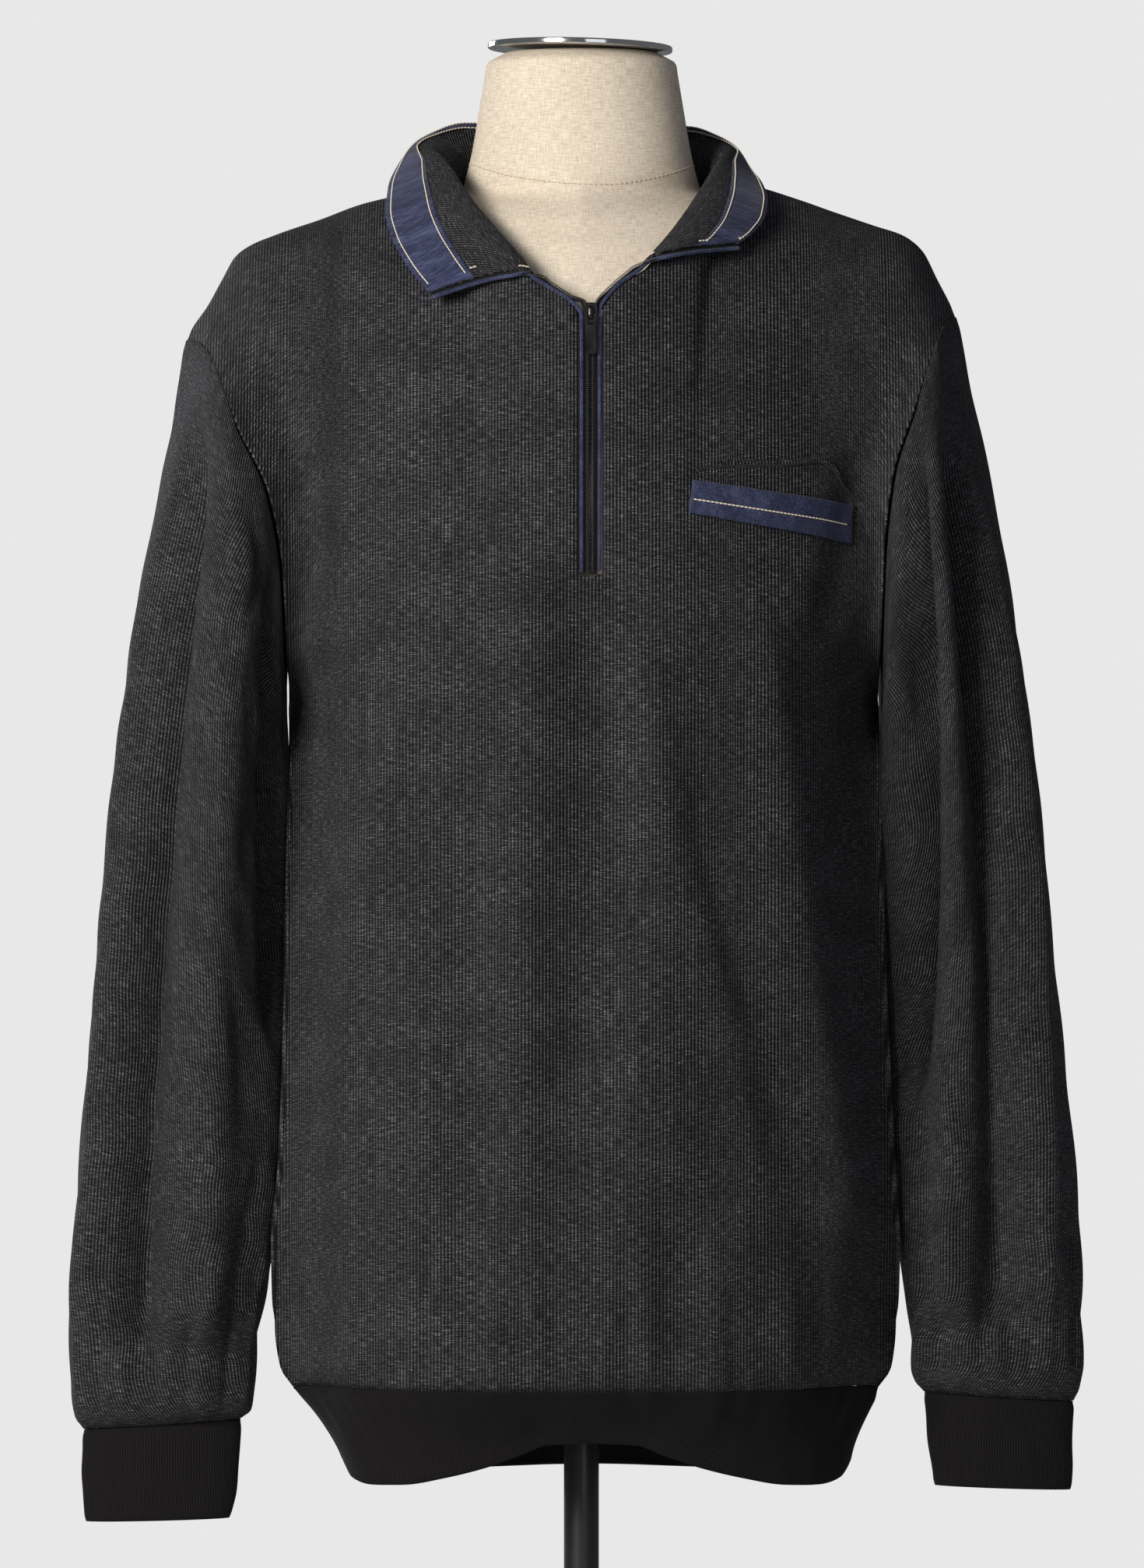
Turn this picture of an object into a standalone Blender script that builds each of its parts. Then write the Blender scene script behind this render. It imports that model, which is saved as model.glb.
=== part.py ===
"""Half-zip knitted sweatshirt, worn open at the neck on a limbless dress form.

The cloth is built as it is sewn: front, back, two sleeves, cuffs, hem band, collar with its facing tape, zip and
pocket welt, each a thin wall over one shared body surface. Metres, +Z up, the front faces -Y, the wearer's left is
+X, and the origin is the middle of the base's underside.

Places on the body are read as (across, level). across runs from -1, the wearer's right side seam or armhole, through
0 at the zip, to +1. level runs from 0 at the hem seam to 1 at the armpit, and to 2 at the shoulder seam and neckline.
"""

from math import pi, radians
from typing import NamedTuple

import bmesh
import bpy
import numpy as np

# ------------------------------------------------------------------------------------------------ driving sizes
SEAM_GAP = 0.0003
KNIT = 0.0016
RIB = 0.0018
COLLAR_THICKNESS = 0.0020
TAPE_THICKNESS = 0.0010

FRONT, BACK = -1, 1
RIGHT, LEFT = -1, 1

ZIP_X = 0.005
SIDE_SEAM_Y = 0.005
HEM_HEIGHT = 0.6060
HEM_RISE_AT_FRONT = 0.0055
ARMPIT_HEIGHT = 0.994
BODY_SQUARENESS = 2.35
ARMHOLE_GRIP = 6.0
SHOULDER_SQUARENESS = 2.4
NECK_FRACTION = 0.355
COLLAR_END_FRACTION = 0.142
SLIT_HALF_WIDTH = 0.0064
SLIT_END_TURN = 0.16


class BodyRow(NamedTuple):
    """Half sections of the body below the armpit: x of both side edges, y of the front and the back."""

    height: float
    right: float
    left: float
    front: float
    back: float


BODY_ROWS = (
    BodyRow(0.606, -0.1640, 0.1690, -0.1150, 0.1060),
    BodyRow(0.618, -0.1705, 0.1755, -0.1195, 0.1100),
    BodyRow(0.640, -0.1735, 0.1780, -0.1205, 0.1110),
    BodyRow(0.688, -0.1725, 0.1768, -0.1200, 0.1100),
    BodyRow(0.730, -0.1690, 0.1745, -0.1200, 0.1080),
    BodyRow(0.786, -0.1660, 0.1710, -0.1200, 0.1060),
    BodyRow(0.828, -0.1635, 0.1690, -0.1205, 0.1050),
    BodyRow(0.870, -0.1610, 0.1675, -0.1215, 0.1050),
    BodyRow(0.926, -0.1595, 0.1655, -0.1235, 0.1070),
    BodyRow(0.960, -0.1605, 0.1648, -0.1250, 0.1090),
    BodyRow(0.994, -0.1660, 0.1685, -0.1265, 0.1110),
)


class ArmholeRow(NamedTuple):
    """The armhole seam by turn, from 0 at the armpit to 1 at the shoulder tip."""

    turn: float
    right: float
    left: float
    front: float
    back: float


ARMHOLE_ROWS = (
    ArmholeRow(0.00, -0.1660, 0.1685, 0.005, 0.005),
    ArmholeRow(0.06, -0.1660, 0.1685, -0.040, 0.044),
    ArmholeRow(0.17, -0.1670, 0.1690, -0.066, 0.066),
    ArmholeRow(0.33, -0.1740, 0.1730, -0.074, 0.075),
    ArmholeRow(0.50, -0.1920, 0.1860, -0.068, 0.071),
    ArmholeRow(0.67, -0.2035, 0.1965, -0.052, 0.058),
    ArmholeRow(0.84, -0.2125, 0.2040, -0.027, 0.035),
    ArmholeRow(1.00, -0.2240, 0.2125, 0.005, 0.005),
)


class TopRow(NamedTuple):
    """The top edge of a panel by fraction of the way from the zip to the shoulder tip: y, and z on each side."""

    fraction: float
    depth: float
    right: float
    left: float


SHOULDER_ROWS = (
    TopRow(0.355, 0.005, 1.2862, 1.2885),
    TopRow(0.455, 0.005, 1.2810, 1.2850),
    TopRow(0.575, 0.005, 1.2745, 1.2775),
    TopRow(0.670, 0.005, 1.2665, 1.2705),
    TopRow(0.780, 0.005, 1.2580, 1.2630),
    TopRow(0.850, 0.005, 1.2515, 1.2585),
    TopRow(0.880, 0.005, 1.2460, 1.2550),
    TopRow(0.910, 0.005, 1.2340, 1.2490),
    TopRow(0.950, 0.005, 1.2175, 1.2330),
    TopRow(0.985, 0.005, 1.2060, 1.2190),
    TopRow(1.000, 0.005, 1.1990, 1.2120),
)
FRONT_TOP = (
    TopRow(0.000, -0.1175, 1.2060, 1.2070),
    TopRow(0.028, -0.1170, 1.2098, 1.2120),
    TopRow(0.050, -0.1155, 1.2150, 1.2185),
    TopRow(0.088, -0.1120, 1.2203, 1.2255),
    TopRow(0.142, -0.1060, 1.2270, 1.2320),
    TopRow(0.170, -0.0990, 1.2360, 1.2385),
    TopRow(0.210, -0.0880, 1.2465, 1.2480),
    TopRow(0.255, -0.0730, 1.2575, 1.2595),
    TopRow(0.295, -0.0560, 1.2680, 1.2705),
    TopRow(0.330, -0.0320, 1.2790, 1.2812),
) + SHOULDER_ROWS
BACK_TOP = (
    TopRow(0.000, 0.0620, 1.2750, 1.2750),
    TopRow(0.100, 0.0600, 1.2755, 1.2755),
    TopRow(0.200, 0.0520, 1.2780, 1.2785),
    TopRow(0.280, 0.0350, 1.2825, 1.2840),
) + SHOULDER_ROWS


class Fold(NamedTuple):
    """A soft ridge (height above 0) or trough (below 0) along a line, seen square on from the panel's side."""

    top_x: float
    top_z: float
    foot_x: float
    foot_z: float
    width: float
    height: float


FRONT_FOLDS = (
    Fold(0.007, 1.060, 0.002, 0.780, 0.022, -0.0060),
    Fold(-0.098, 0.985, -0.150, 0.680, 0.024, 0.0070),
    Fold(-0.128, 1.100, -0.146, 0.900, 0.012, -0.0045),
    Fold(0.058, 0.990, 0.128, 0.700, 0.020, -0.0060),
    Fold(0.020, 0.860, 0.030, 0.640, 0.020, 0.0055),
    Fold(-0.060, 0.900, -0.070, 0.640, 0.018, -0.0045),
    Fold(0.110, 0.900, 0.148, 0.660, 0.016, 0.0045),
    Fold(-0.175, 1.170, -0.148, 1.020, 0.014, -0.0070),
    Fold(0.182, 1.170, 0.155, 1.020, 0.013, -0.0060),
    Fold(-0.016, 0.680, -0.014, 0.612, 0.010, -0.0040),
    Fold(0.050, 0.680, 0.052, 0.612, 0.011, -0.0040),
    Fold(0.098, 0.676, 0.100, 0.612, 0.011, -0.0035),
    Fold(-0.105, 0.680, -0.107, 0.612, 0.012, -0.0035),
)
BACK_FOLDS = (
    Fold(-0.110, 1.120, -0.060, 0.800, 0.022, -0.0060),
    Fold(0.112, 1.120, 0.066, 0.800, 0.022, -0.0060),
    Fold(0.000, 0.960, 0.004, 0.640, 0.026, 0.0070),
    Fold(-0.100, 0.850, -0.120, 0.630, 0.018, 0.0055),
    Fold(0.104, 0.850, 0.122, 0.630, 0.018, 0.0055),
    Fold(-0.168, 1.170, -0.148, 1.010, 0.014, -0.0060),
    Fold(0.168, 1.170, 0.148, 1.010, 0.014, -0.0060),
    Fold(-0.050, 0.680, -0.052, 0.612, 0.012, -0.0040),
    Fold(0.056, 0.680, 0.058, 0.612, 0.012, -0.0040),
)
FOLD_TAPER = 0.050

# The columns of a panel, as fractions from the zip to the edge, and the rows, as levels below and turns above.
FRONT_FRACTIONS = (0.028, 0.05, 0.088, 0.142, 0.19, 0.24, 0.295, 0.355, 0.44, 0.53, 0.63, 0.73, 0.82, 0.89, 0.95, 1.0)
BACK_FRACTIONS = (0.0, 0.09, 0.18, 0.27, 0.355, 0.44, 0.53, 0.63, 0.73, 0.82, 0.89, 0.95, 1.0)
LOW_LEVELS = (0.0, 0.03, 0.085, 0.18, 0.29, 0.41, 0.53, 0.65, 0.77, 0.88)
TURNS = (0.0, 0.05, 0.10, 0.16, 0.24, 0.33, 0.42, 0.52, 0.62, 0.72, 0.82, 0.91, 1.0)


class SleeveRow(NamedTuple):
    """One section of a sleeve: height of its outer and inner line, their distance from x = 0, and y front and back."""

    down: float
    outer_z: float
    inner_z: float
    outer: float
    inner: float
    front: float
    back: float


RIGHT_SLEEVE = (
    SleeveRow(0.000, 1.1990, 0.9940, 0.2240, 0.1660, -0.070, 0.074),
    SleeveRow(0.050, 1.1680, 0.9800, 0.2280, 0.1672, -0.077, 0.080),
    SleeveRow(0.110, 1.1320, 0.9620, 0.2350, 0.1672, -0.078, 0.082),
    SleeveRow(0.180, 1.0820, 0.9380, 0.2440, 0.1668, -0.074, 0.079),
    SleeveRow(0.260, 1.0250, 0.9050, 0.2525, 0.1672, -0.068, 0.074),
    SleeveRow(0.350, 0.9650, 0.8680, 0.2610, 0.1678, -0.060, 0.066),
    SleeveRow(0.450, 0.9000, 0.8250, 0.2688, 0.1688, -0.052, 0.058),
    SleeveRow(0.560, 0.8300, 0.7750, 0.2748, 0.1700, -0.044, 0.050),
    SleeveRow(0.670, 0.7620, 0.7240, 0.2815, 0.1722, -0.038, 0.044),
    SleeveRow(0.780, 0.7000, 0.6750, 0.2870, 0.1765, -0.033, 0.039),
    SleeveRow(0.880, 0.6450, 0.6320, 0.2900, 0.1830, -0.029, 0.035),
    SleeveRow(0.950, 0.6050, 0.6020, 0.2888, 0.1852, -0.026, 0.032),
    SleeveRow(0.985, 0.5900, 0.5935, 0.2865, 0.1868, -0.020, 0.026),
    SleeveRow(1.000, 0.5829, 0.5889, 0.2828, 0.1912, -0.012, 0.018),
)
LEFT_SLEEVE = (
    SleeveRow(0.000, 1.2120, 0.9940, 0.2125, 0.1685, -0.070, 0.074),
    SleeveRow(0.050, 1.1800, 0.9800, 0.2178, 0.1695, -0.076, 0.080),
    SleeveRow(0.110, 1.1410, 0.9620, 0.2262, 0.1695, -0.077, 0.081),
    SleeveRow(0.180, 1.0950, 0.9380, 0.2355, 0.1690, -0.073, 0.078),
    SleeveRow(0.260, 1.0380, 0.9050, 0.2455, 0.1698, -0.067, 0.073),
    SleeveRow(0.350, 0.9750, 0.8680, 0.2553, 0.1715, -0.059, 0.065),
    SleeveRow(0.450, 0.9100, 0.8250, 0.2622, 0.1735, -0.051, 0.057),
    SleeveRow(0.560, 0.8350, 0.7750, 0.2685, 0.1757, -0.043, 0.049),
    SleeveRow(0.670, 0.7720, 0.7240, 0.2750, 0.1785, -0.037, 0.043),
    SleeveRow(0.780, 0.7050, 0.6750, 0.2808, 0.1808, -0.032, 0.038),
    SleeveRow(0.880, 0.6500, 0.6400, 0.2838, 0.1848, -0.028, 0.034),
    SleeveRow(0.950, 0.6200, 0.6160, 0.2838, 0.1870, -0.025, 0.031),
    SleeveRow(0.985, 0.6065, 0.6100, 0.2818, 0.1885, -0.020, 0.026),
    SleeveRow(1.000, 0.5988, 0.6041, 0.2795, 0.1925, -0.012, 0.018),
)
SLEEVE_BLEND = 0.30
SLEEVE_GAP = 0.0006


class SleeveFold(NamedTuple):
    """A fold along a sleeve: around is 0 at the outer line, 0.25 in front, 0.5 inside and 0.75 behind."""

    top_around: float
    foot_around: float
    top_down: float
    foot_down: float
    width: float
    height: float


RIGHT_SLEEVE_FOLDS = (
    SleeveFold(0.150, 0.170, 0.22, 0.84, 0.050, -0.0075),
    SleeveFold(0.285, 0.300, 0.16, 0.66, 0.055, 0.0060),
    SleeveFold(0.380, 0.400, 0.20, 0.50, 0.045, -0.0060),
    SleeveFold(0.860, 0.830, 0.24, 0.86, 0.050, -0.0070),
    SleeveFold(0.640, 0.660, 0.20, 0.70, 0.055, -0.0055),
    SleeveFold(0.220, 0.235, 0.80, 0.98, 0.030, -0.0035),
    SleeveFold(0.330, 0.320, 0.82, 0.98, 0.030, 0.0030),
    SleeveFold(0.720, 0.735, 0.80, 0.98, 0.035, -0.0035),
)
LEFT_SLEEVE_FOLDS = (
    SleeveFold(0.180, 0.160, 0.12, 0.60, 0.050, -0.0070),
    SleeveFold(0.290, 0.270, 0.10, 0.60, 0.055, 0.0060),
    SleeveFold(0.390, 0.370, 0.16, 0.46, 0.050, -0.0070),
    SleeveFold(0.850, 0.840, 0.20, 0.82, 0.050, -0.0070),
    SleeveFold(0.650, 0.665, 0.22, 0.72, 0.055, -0.0055),
    SleeveFold(0.210, 0.225, 0.80, 0.98, 0.030, -0.0035),
    SleeveFold(0.310, 0.330, 0.82, 0.98, 0.030, 0.0030),
    SleeveFold(0.730, 0.720, 0.80, 0.98, 0.035, -0.0035),
)
SLEEVE_DOWNS = (0.0, 0.035, 0.08, 0.13, 0.19, 0.26, 0.34, 0.42, 0.50, 0.58, 0.66, 0.74, 0.82, 0.89, 0.945, 0.98, 1.0)


class CuffRow(NamedTuple):
    """One section of a cuff: outer and inner line as in a sleeve, and its half depth."""

    down: float
    outer_z: float
    inner_z: float
    outer: float
    inner: float
    half_depth: float


RIGHT_CUFF = (
    CuffRow(0.0, 0.5829, 0.5889, 0.2822, 0.1918, 0.0145),
    CuffRow(0.25, 0.5700, 0.5740, 0.2822, 0.1930, 0.0135),
    CuffRow(0.70, 0.5470, 0.5490, 0.2822, 0.1950, 0.0130),
    CuffRow(1.0, 0.5310, 0.5330, 0.2808, 0.1985, 0.0130),
)
LEFT_CUFF = (
    CuffRow(0.0, 0.5988, 0.6041, 0.2789, 0.1931, 0.0145),
    CuffRow(0.25, 0.5870, 0.5910, 0.2782, 0.1948, 0.0135),
    CuffRow(0.70, 0.5650, 0.5670, 0.2780, 0.1975, 0.0130),
    CuffRow(1.0, 0.5490, 0.5515, 0.2772, 0.1993, 0.0130),
)
SLEEVE_MIDDLE_Y = 0.003
CUFF_AROUNDS = 24


class HemRow(NamedTuple):
    """Height of the hem band's lower edge by fraction from the zip to the side: in front and behind."""

    fraction: float
    front: float
    back: float


HEM_EDGE = (
    HemRow(0.00, 0.5805, 0.5565),
    HemRow(0.17, 0.5795, 0.5560),
    HemRow(0.28, 0.5735, 0.5555),
    HemRow(0.42, 0.5665, 0.5550),
    HemRow(0.58, 0.5605, 0.5545),
    HemRow(0.74, 0.5560, 0.5545),
    HemRow(0.88, 0.5550, 0.5550),
    HemRow(0.96, 0.5580, 0.5575),
    HemRow(1.00, 0.5640, 0.5640),
)
HEM_LOWER_RIGHT = -0.1355
HEM_LOWER_LEFT = 0.1520
HEM_LOWER_FRONT = -0.0820
HEM_LOWER_BACK = 0.0900
HEM_ROWS = (0.0, 0.22, 0.5, 0.78, 1.0)


class CollarRow(NamedTuple):
    """The collar's free edge by station, from 0 behind the neck to 1 at the zip: a point for each side, and the rise
    of the roll between the neck seam and this edge."""

    station: float
    right_x: float
    right_y: float
    right_z: float
    left_x: float
    left_y: float
    left_z: float
    rise: float


COLLAR_ROWS = (
    CollarRow(0.00, 0.0000, 0.0800, 1.3235, 0.0000, 0.0800, 1.3235, 0.001),
    CollarRow(0.18, -0.0400, 0.0760, 1.3250, 0.0400, 0.0760, 1.3240, 0.002),
    CollarRow(0.32, -0.0680, 0.0600, 1.3240, 0.0640, 0.0600, 1.3220, 0.004),
    CollarRow(0.46, -0.0910, 0.0320, 1.3120, 0.0840, 0.0340, 1.3095, 0.008),
    CollarRow(0.58, -0.1020, 0.0020, 1.2960, 0.0935, 0.0060, 1.2945, 0.012),
    CollarRow(0.69, -0.1075, -0.0260, 1.2810, 0.1005, -0.0220, 1.2835, 0.011),
    CollarRow(0.78, -0.1085, -0.0490, 1.2660, 0.1035, -0.0440, 1.2730, 0.010),
    CollarRow(0.86, -0.1050, -0.0670, 1.2510, 0.1025, -0.0600, 1.2640, 0.008),
    CollarRow(0.93, -0.0970, -0.0820, 1.2360, 0.0975, -0.0710, 1.2560, 0.007),
    CollarRow(1.00, -0.0840, -0.0950, 1.2190, 0.0870, -0.0820, 1.2475, 0.006),
)
NECK_SIDE_STATION = 0.50
COLLAR_STATIONS = 15
COLLAR_HEIGHTS = (0.0, 0.12, 0.28, 0.42, 0.54, 0.70, 0.86, 1.0)
TAPE_FIRST_HEIGHT = 4
COLLAR_LIFT = 0.0022

PIPING_RADIUS = 0.0011
CHAIN_RADIUS = 0.00135
CHAIN_FOOT_TURN = 0.170
CHAIN_PART_TURN = 0.78
CHAIN_DEPTH = 0.0006
PIPING_TURNS = (0.167, 0.87)
PIPING_DEPTH = 0.0002
# The parted chain inside the slider, as distances off its middle line and above its middle.
CHAIN_PARTING = ((0.0015, -0.0057), (0.0016, -0.0020), (0.0022, 0.0016), (0.0026, 0.0042), (0.0037, 0.0068))
LAPEL_FRACTIONS = (0.052, 0.075, 0.100, 0.122)
LAPEL_LIFTS = (-0.0006, -0.0003, 0.0012, 0.0036)
CHAIN_HEIGHTS = (0.07, 0.17, 0.30, 0.45, 0.60, 0.75, 0.88, 0.99)
CHAIN_CORNER_LIFT = 0.0022

POCKET_CORNERS = ((0.0610, 1.1150), (0.1535, 1.1030), (0.1520, 1.0815), (0.0585, 1.0968))
POCKET_LIFT = 0.0012
POCKET_THICKNESS = 0.0014
POCKET_CELLS = (10, 3)

SLIDER_TOP_HEIGHT = 1.2125
SLIDER_LENGTH = 0.0115
SLIDER_WIDTH = 0.0076
SLIDER_PLATE = 0.0011
SLIDER_FOOT_TURNS = (0.70, 0.82)
SLIDER_PLAY = 0.00050
POST_WIDTH = 0.0011
POST_LENGTH = 0.0034
BAIL_WIDTH = 0.0022
BAIL_THICKNESS = 0.0009
BAIL_REACH = 0.0033
BAIL_HALF_SPAN = 0.0034
PULL_WIDTH = 0.0062
PULL_LENGTH = 0.0225
PULL_THICKNESS = 0.0010
PULL_HOLE = (0.0036, 0.0050)
PULL_BAR = 0.0011
PULL_CLEAR = 0.00115
PULL_HINGE_RISE = -0.0013


class FormRow(NamedTuple):
    """One level section of the dress form: half width, y in front and behind, and how square its plan is."""

    height: float
    half_width: float
    front: float
    back: float
    squareness: float


FORM_ROWS = (
    FormRow(0.6350, 0.1130, -0.0780, 0.0780, 2.2),
    FormRow(0.6400, 0.1190, -0.0840, 0.0830, 2.2),
    FormRow(0.6600, 0.1250, -0.0900, 0.0880, 2.2),
    FormRow(0.7000, 0.1290, -0.0950, 0.0910, 2.2),
    FormRow(0.7500, 0.1290, -0.0970, 0.0890, 2.2),
    FormRow(0.8000, 0.1270, -0.0980, 0.0860, 2.2),
    FormRow(0.8500, 0.1270, -0.1000, 0.0850, 2.15),
    FormRow(0.9000, 0.1295, -0.1030, 0.0870, 2.1),
    FormRow(0.9500, 0.1330, -0.1060, 0.0910, 2.1),
    FormRow(1.0000, 0.1380, -0.1095, 0.0950, 2.1),
    FormRow(1.0500, 0.1460, -0.1125, 0.0980, 2.1),
    FormRow(1.1000, 0.1570, -0.1135, 0.0980, 2.05),
    FormRow(1.1400, 0.1660, -0.1090, 0.0950, 2.0),
    FormRow(1.1700, 0.1720, -0.1035, 0.0910, 1.9),
    FormRow(1.2000, 0.1760, -0.0975, 0.0865, 1.8),
    FormRow(1.2200, 0.1770, -0.0920, 0.0830, 1.7),
    FormRow(1.2380, 0.1740, -0.0842, 0.0772, 1.6),
    FormRow(1.2480, 0.1690, -0.0795, 0.0740, 1.52),
    FormRow(1.2550, 0.1600, -0.0745, 0.0700, 1.46),
    FormRow(1.2630, 0.1430, -0.0690, 0.0660, 1.42),
    FormRow(1.2700, 0.1170, -0.0620, 0.0610, 1.40),
    FormRow(1.2760, 0.0858, -0.0562, 0.0580, 1.42),
    FormRow(1.2820, 0.0682, -0.0525, 0.0550, 1.60),
    FormRow(1.2910, 0.0650, -0.0505, 0.0540, 1.90),
    FormRow(1.3060, 0.0615, -0.0485, 0.0530, 2.0),
    FormRow(1.3270, 0.0580, -0.0465, 0.0510, 2.0),
    FormRow(1.3480, 0.0545, -0.0470, 0.0510, 2.0),
    FormRow(1.3540, 0.0535, -0.0460, 0.0500, 2.0),
    FormRow(1.3580, 0.0470, -0.0400, 0.0440, 2.0),
    FormRow(1.3602, 0.0430, -0.0360, 0.0400, 2.0),
)
FORM_AROUNDS = 40
CAP_RADIUS = 0.0522
CAP_THICKNESS = 0.0034
CAP_LEAN = radians(1.4)
CAP_CENTRE = (-0.0007, 0.0020, 1.3634)
POLE_RADIUS = 0.0099
BASE_RADIUS = 0.165
BASE_THICKNESS = 0.010
BASE_EDGE = 0.003
ROUND_SEGMENTS = 48

FINISHES = {
    "knit": ((0.042, 0.041, 0.043, 1.0), 0.92, 0.0),
    "rib": ((0.011, 0.010, 0.011, 1.0), 0.90, 0.0),
    "twill": ((0.045, 0.055, 0.095, 1.0), 0.85, 0.0),
    "chain": ((0.010, 0.010, 0.011, 1.0), 0.50, 0.0),
    "gunmetal": ((0.075, 0.072, 0.070, 1.0), 0.35, 0.9),
    "linen": ((0.66, 0.55, 0.42, 1.0), 0.90, 0.0),
    "chrome": ((0.75, 0.75, 0.74, 1.0), 0.12, 1.0),
    "black_paint": ((0.016, 0.019, 0.023, 1.0), 0.40, 0.2),
}


# ------------------------------------------------------------------------------------------------ tables and curves
def column(table, name):
    """One named column of a table as an array."""
    return np.array([getattr(row, name) for row in table])


def smooth_curve(places, values, at):
    """Values on a curve through the given ones that never swings past them (cubic, with limited slopes)."""
    step = np.diff(places)
    rate = np.diff(values) / step
    slope = np.zeros(len(places))
    slope[0], slope[-1] = rate[0], rate[-1]
    same_way = rate[:-1] * rate[1:] > 0
    wide, near = 2 * step[1:] + step[:-1], step[1:] + 2 * step[:-1]
    safe = np.where(same_way, 1.0, 0.0)
    before = np.where(same_way, rate[:-1], 1.0)
    after = np.where(same_way, rate[1:], 1.0)
    slope[1:-1] = safe * (wide + near) / (wide / before + near / after)
    at = np.clip(at, places[0], places[-1])
    cell = np.clip(np.searchsorted(places, at, side="right") - 1, 0, len(step) - 1)
    run = (at - places[cell]) / step[cell]
    start = values[cell] * (1 + 2 * run) * (1 - run) ** 2
    end = values[cell + 1] * (3 - 2 * run) * run**2
    lean = step[cell] * run * (1 - run) * (slope[cell] * (1 - run) - slope[cell + 1] * run)
    return start + end + lean


def read(table, key, name, at):
    """The named column of a table at the given places along its key column."""
    return smooth_curve(column(table, key), column(table, name), np.asarray(at, float))


def two_sides(table, key, at, is_left, right_name="right", left_name="left"):
    """A column read from the wearer's right or left, whichever side each place is on."""
    return np.where(is_left, read(table, key, left_name, at), read(table, key, right_name, at))


def eased(share):
    """Rises smoothly from 0 to 1 as share does."""
    share = np.clip(share, 0.0, 1.0)
    return share * share * (3.0 - 2.0 * share)


def unit(vectors):
    """The same directions with length 1."""
    return vectors / np.linalg.norm(vectors, axis=-1, keepdims=True)


# ------------------------------------------------------------------------------------------------ the body surface
INWARD_CENTRE = (0.002, 0.0)
INWARD_SPANS = (0.190, 0.120, 0.150)
INWARD_START_HEIGHT = 1.100


def body_inward(points):
    """The direction into the body at each point: level below the chest, and turned down over the shoulders."""
    rise = np.maximum(points[..., 2] - INWARD_START_HEIGHT, 0.0)
    spans = np.array(INWARD_SPANS)
    reach = np.stack([points[..., 0] - INWARD_CENTRE[0], points[..., 1] - INWARD_CENTRE[1], rise], axis=-1)
    return -unit(reach / spans**2)


def fold_height(folds, x, z):
    """How far the folds raise the cloth at places seen square on."""
    total = np.zeros(np.broadcast(x, z).shape)
    for fold in folds:
        run = (fold.top_z - z) / (fold.top_z - fold.foot_z)
        line = fold.top_x + (fold.foot_x - fold.top_x) * np.clip(run, 0.0, 1.0)
        taper = FOLD_TAPER / (fold.top_z - fold.foot_z)
        fade = eased((run + taper) / (2 * taper)) * eased((1 + taper - run) / (2 * taper))
        total += fold.height * fade * np.exp(-(((x - line) / fold.width) ** 2))
    return total


def side_edge(level, is_left):
    """x of a panel's side edge: the side seam below the armpit and the armhole seam above it."""
    height = HEM_HEIGHT + (ARMPIT_HEIGHT - HEM_HEIGHT) * np.clip(level, 0.0, 1.0)
    low = two_sides(BODY_ROWS, "height", height, is_left)
    high = two_sides(ARMHOLE_ROWS, "turn", np.clip(level - 1.0, 0.0, 1.0), is_left)
    return np.where(level <= 1.0, low, high)


def body_base(across, level, face):
    """Points of the body's outer surface before its folds, for arrays of across and level."""
    fraction = np.abs(across)
    is_left = across > 0
    turn = np.clip(level - 1.0, 0.0, 1.0)
    height = HEM_HEIGHT + (ARMPIT_HEIGHT - HEM_HEIGHT) * np.clip(level, 0.0, 1.0)
    side = "front" if face == FRONT else "back"
    edge = side_edge(level, is_left)
    top = FRONT_TOP if face == FRONT else BACK_TOP
    top_height = two_sides(top, "fraction", fraction, is_left)
    top_depth = read(top, "fraction", "depth", fraction)
    full_depth = read(BODY_ROWS, "height", side, height)
    armhole_depth = read(ARMHOLE_ROWS, "turn", side, turn)
    crown = (1.0 - fraction**BODY_SQUARENESS) ** (1.0 / BODY_SQUARENESS)
    chest = SIDE_SEAM_Y + (full_depth - SIDE_SEAM_Y) * crown
    power = 2.0 / SHOULDER_SQUARENESS
    climb = np.sin(turn * pi / 2) ** power
    depth = chest + (top_depth - chest) * (1.0 - np.abs(np.cos(turn * pi / 2)) ** power)
    grip = fraction**ARMHOLE_GRIP
    depth = depth * (1.0 - grip) + armhole_depth * grip
    depth = depth + face * SEAM_GAP * 0.54 * (grip + (1 - grip) * turn**8)
    x = ZIP_X + (edge - ZIP_X) * fraction
    z = height + (top_height - ARMPIT_HEIGHT) * climb
    if face == FRONT:
        z = z + HEM_RISE_AT_FRONT * crown * (1.0 - eased(level / 0.35))
    return np.stack([x, depth, z], axis=-1)


def body_surface(across, level, face):
    """Points of the body's outer surface with its folds, which fade out at the seams that other pieces share."""
    across, level = np.broadcast_arrays(np.asarray(across, float), np.asarray(level, float))
    points = body_base(across, level, face)
    folds = FRONT_FOLDS if face == FRONT else BACK_FOLDS
    turn = np.clip(level - 1.0, 0.0, 1.0)
    share = (1.0 - np.abs(across) ** 10) * (1.0 - turn**6)
    raised = fold_height(folds, points[..., 0], points[..., 2]) * share
    return points - body_inward(points) * raised[..., None]


def across_at(off_zip, level):
    """The across value at a distance from the zip, right of it below 0 and left of it above 0."""
    off_zip, level = np.broadcast_arrays(np.asarray(off_zip, float), np.asarray(level, float))
    return off_zip / np.abs(side_edge(level, off_zip > 0) - ZIP_X)


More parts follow.
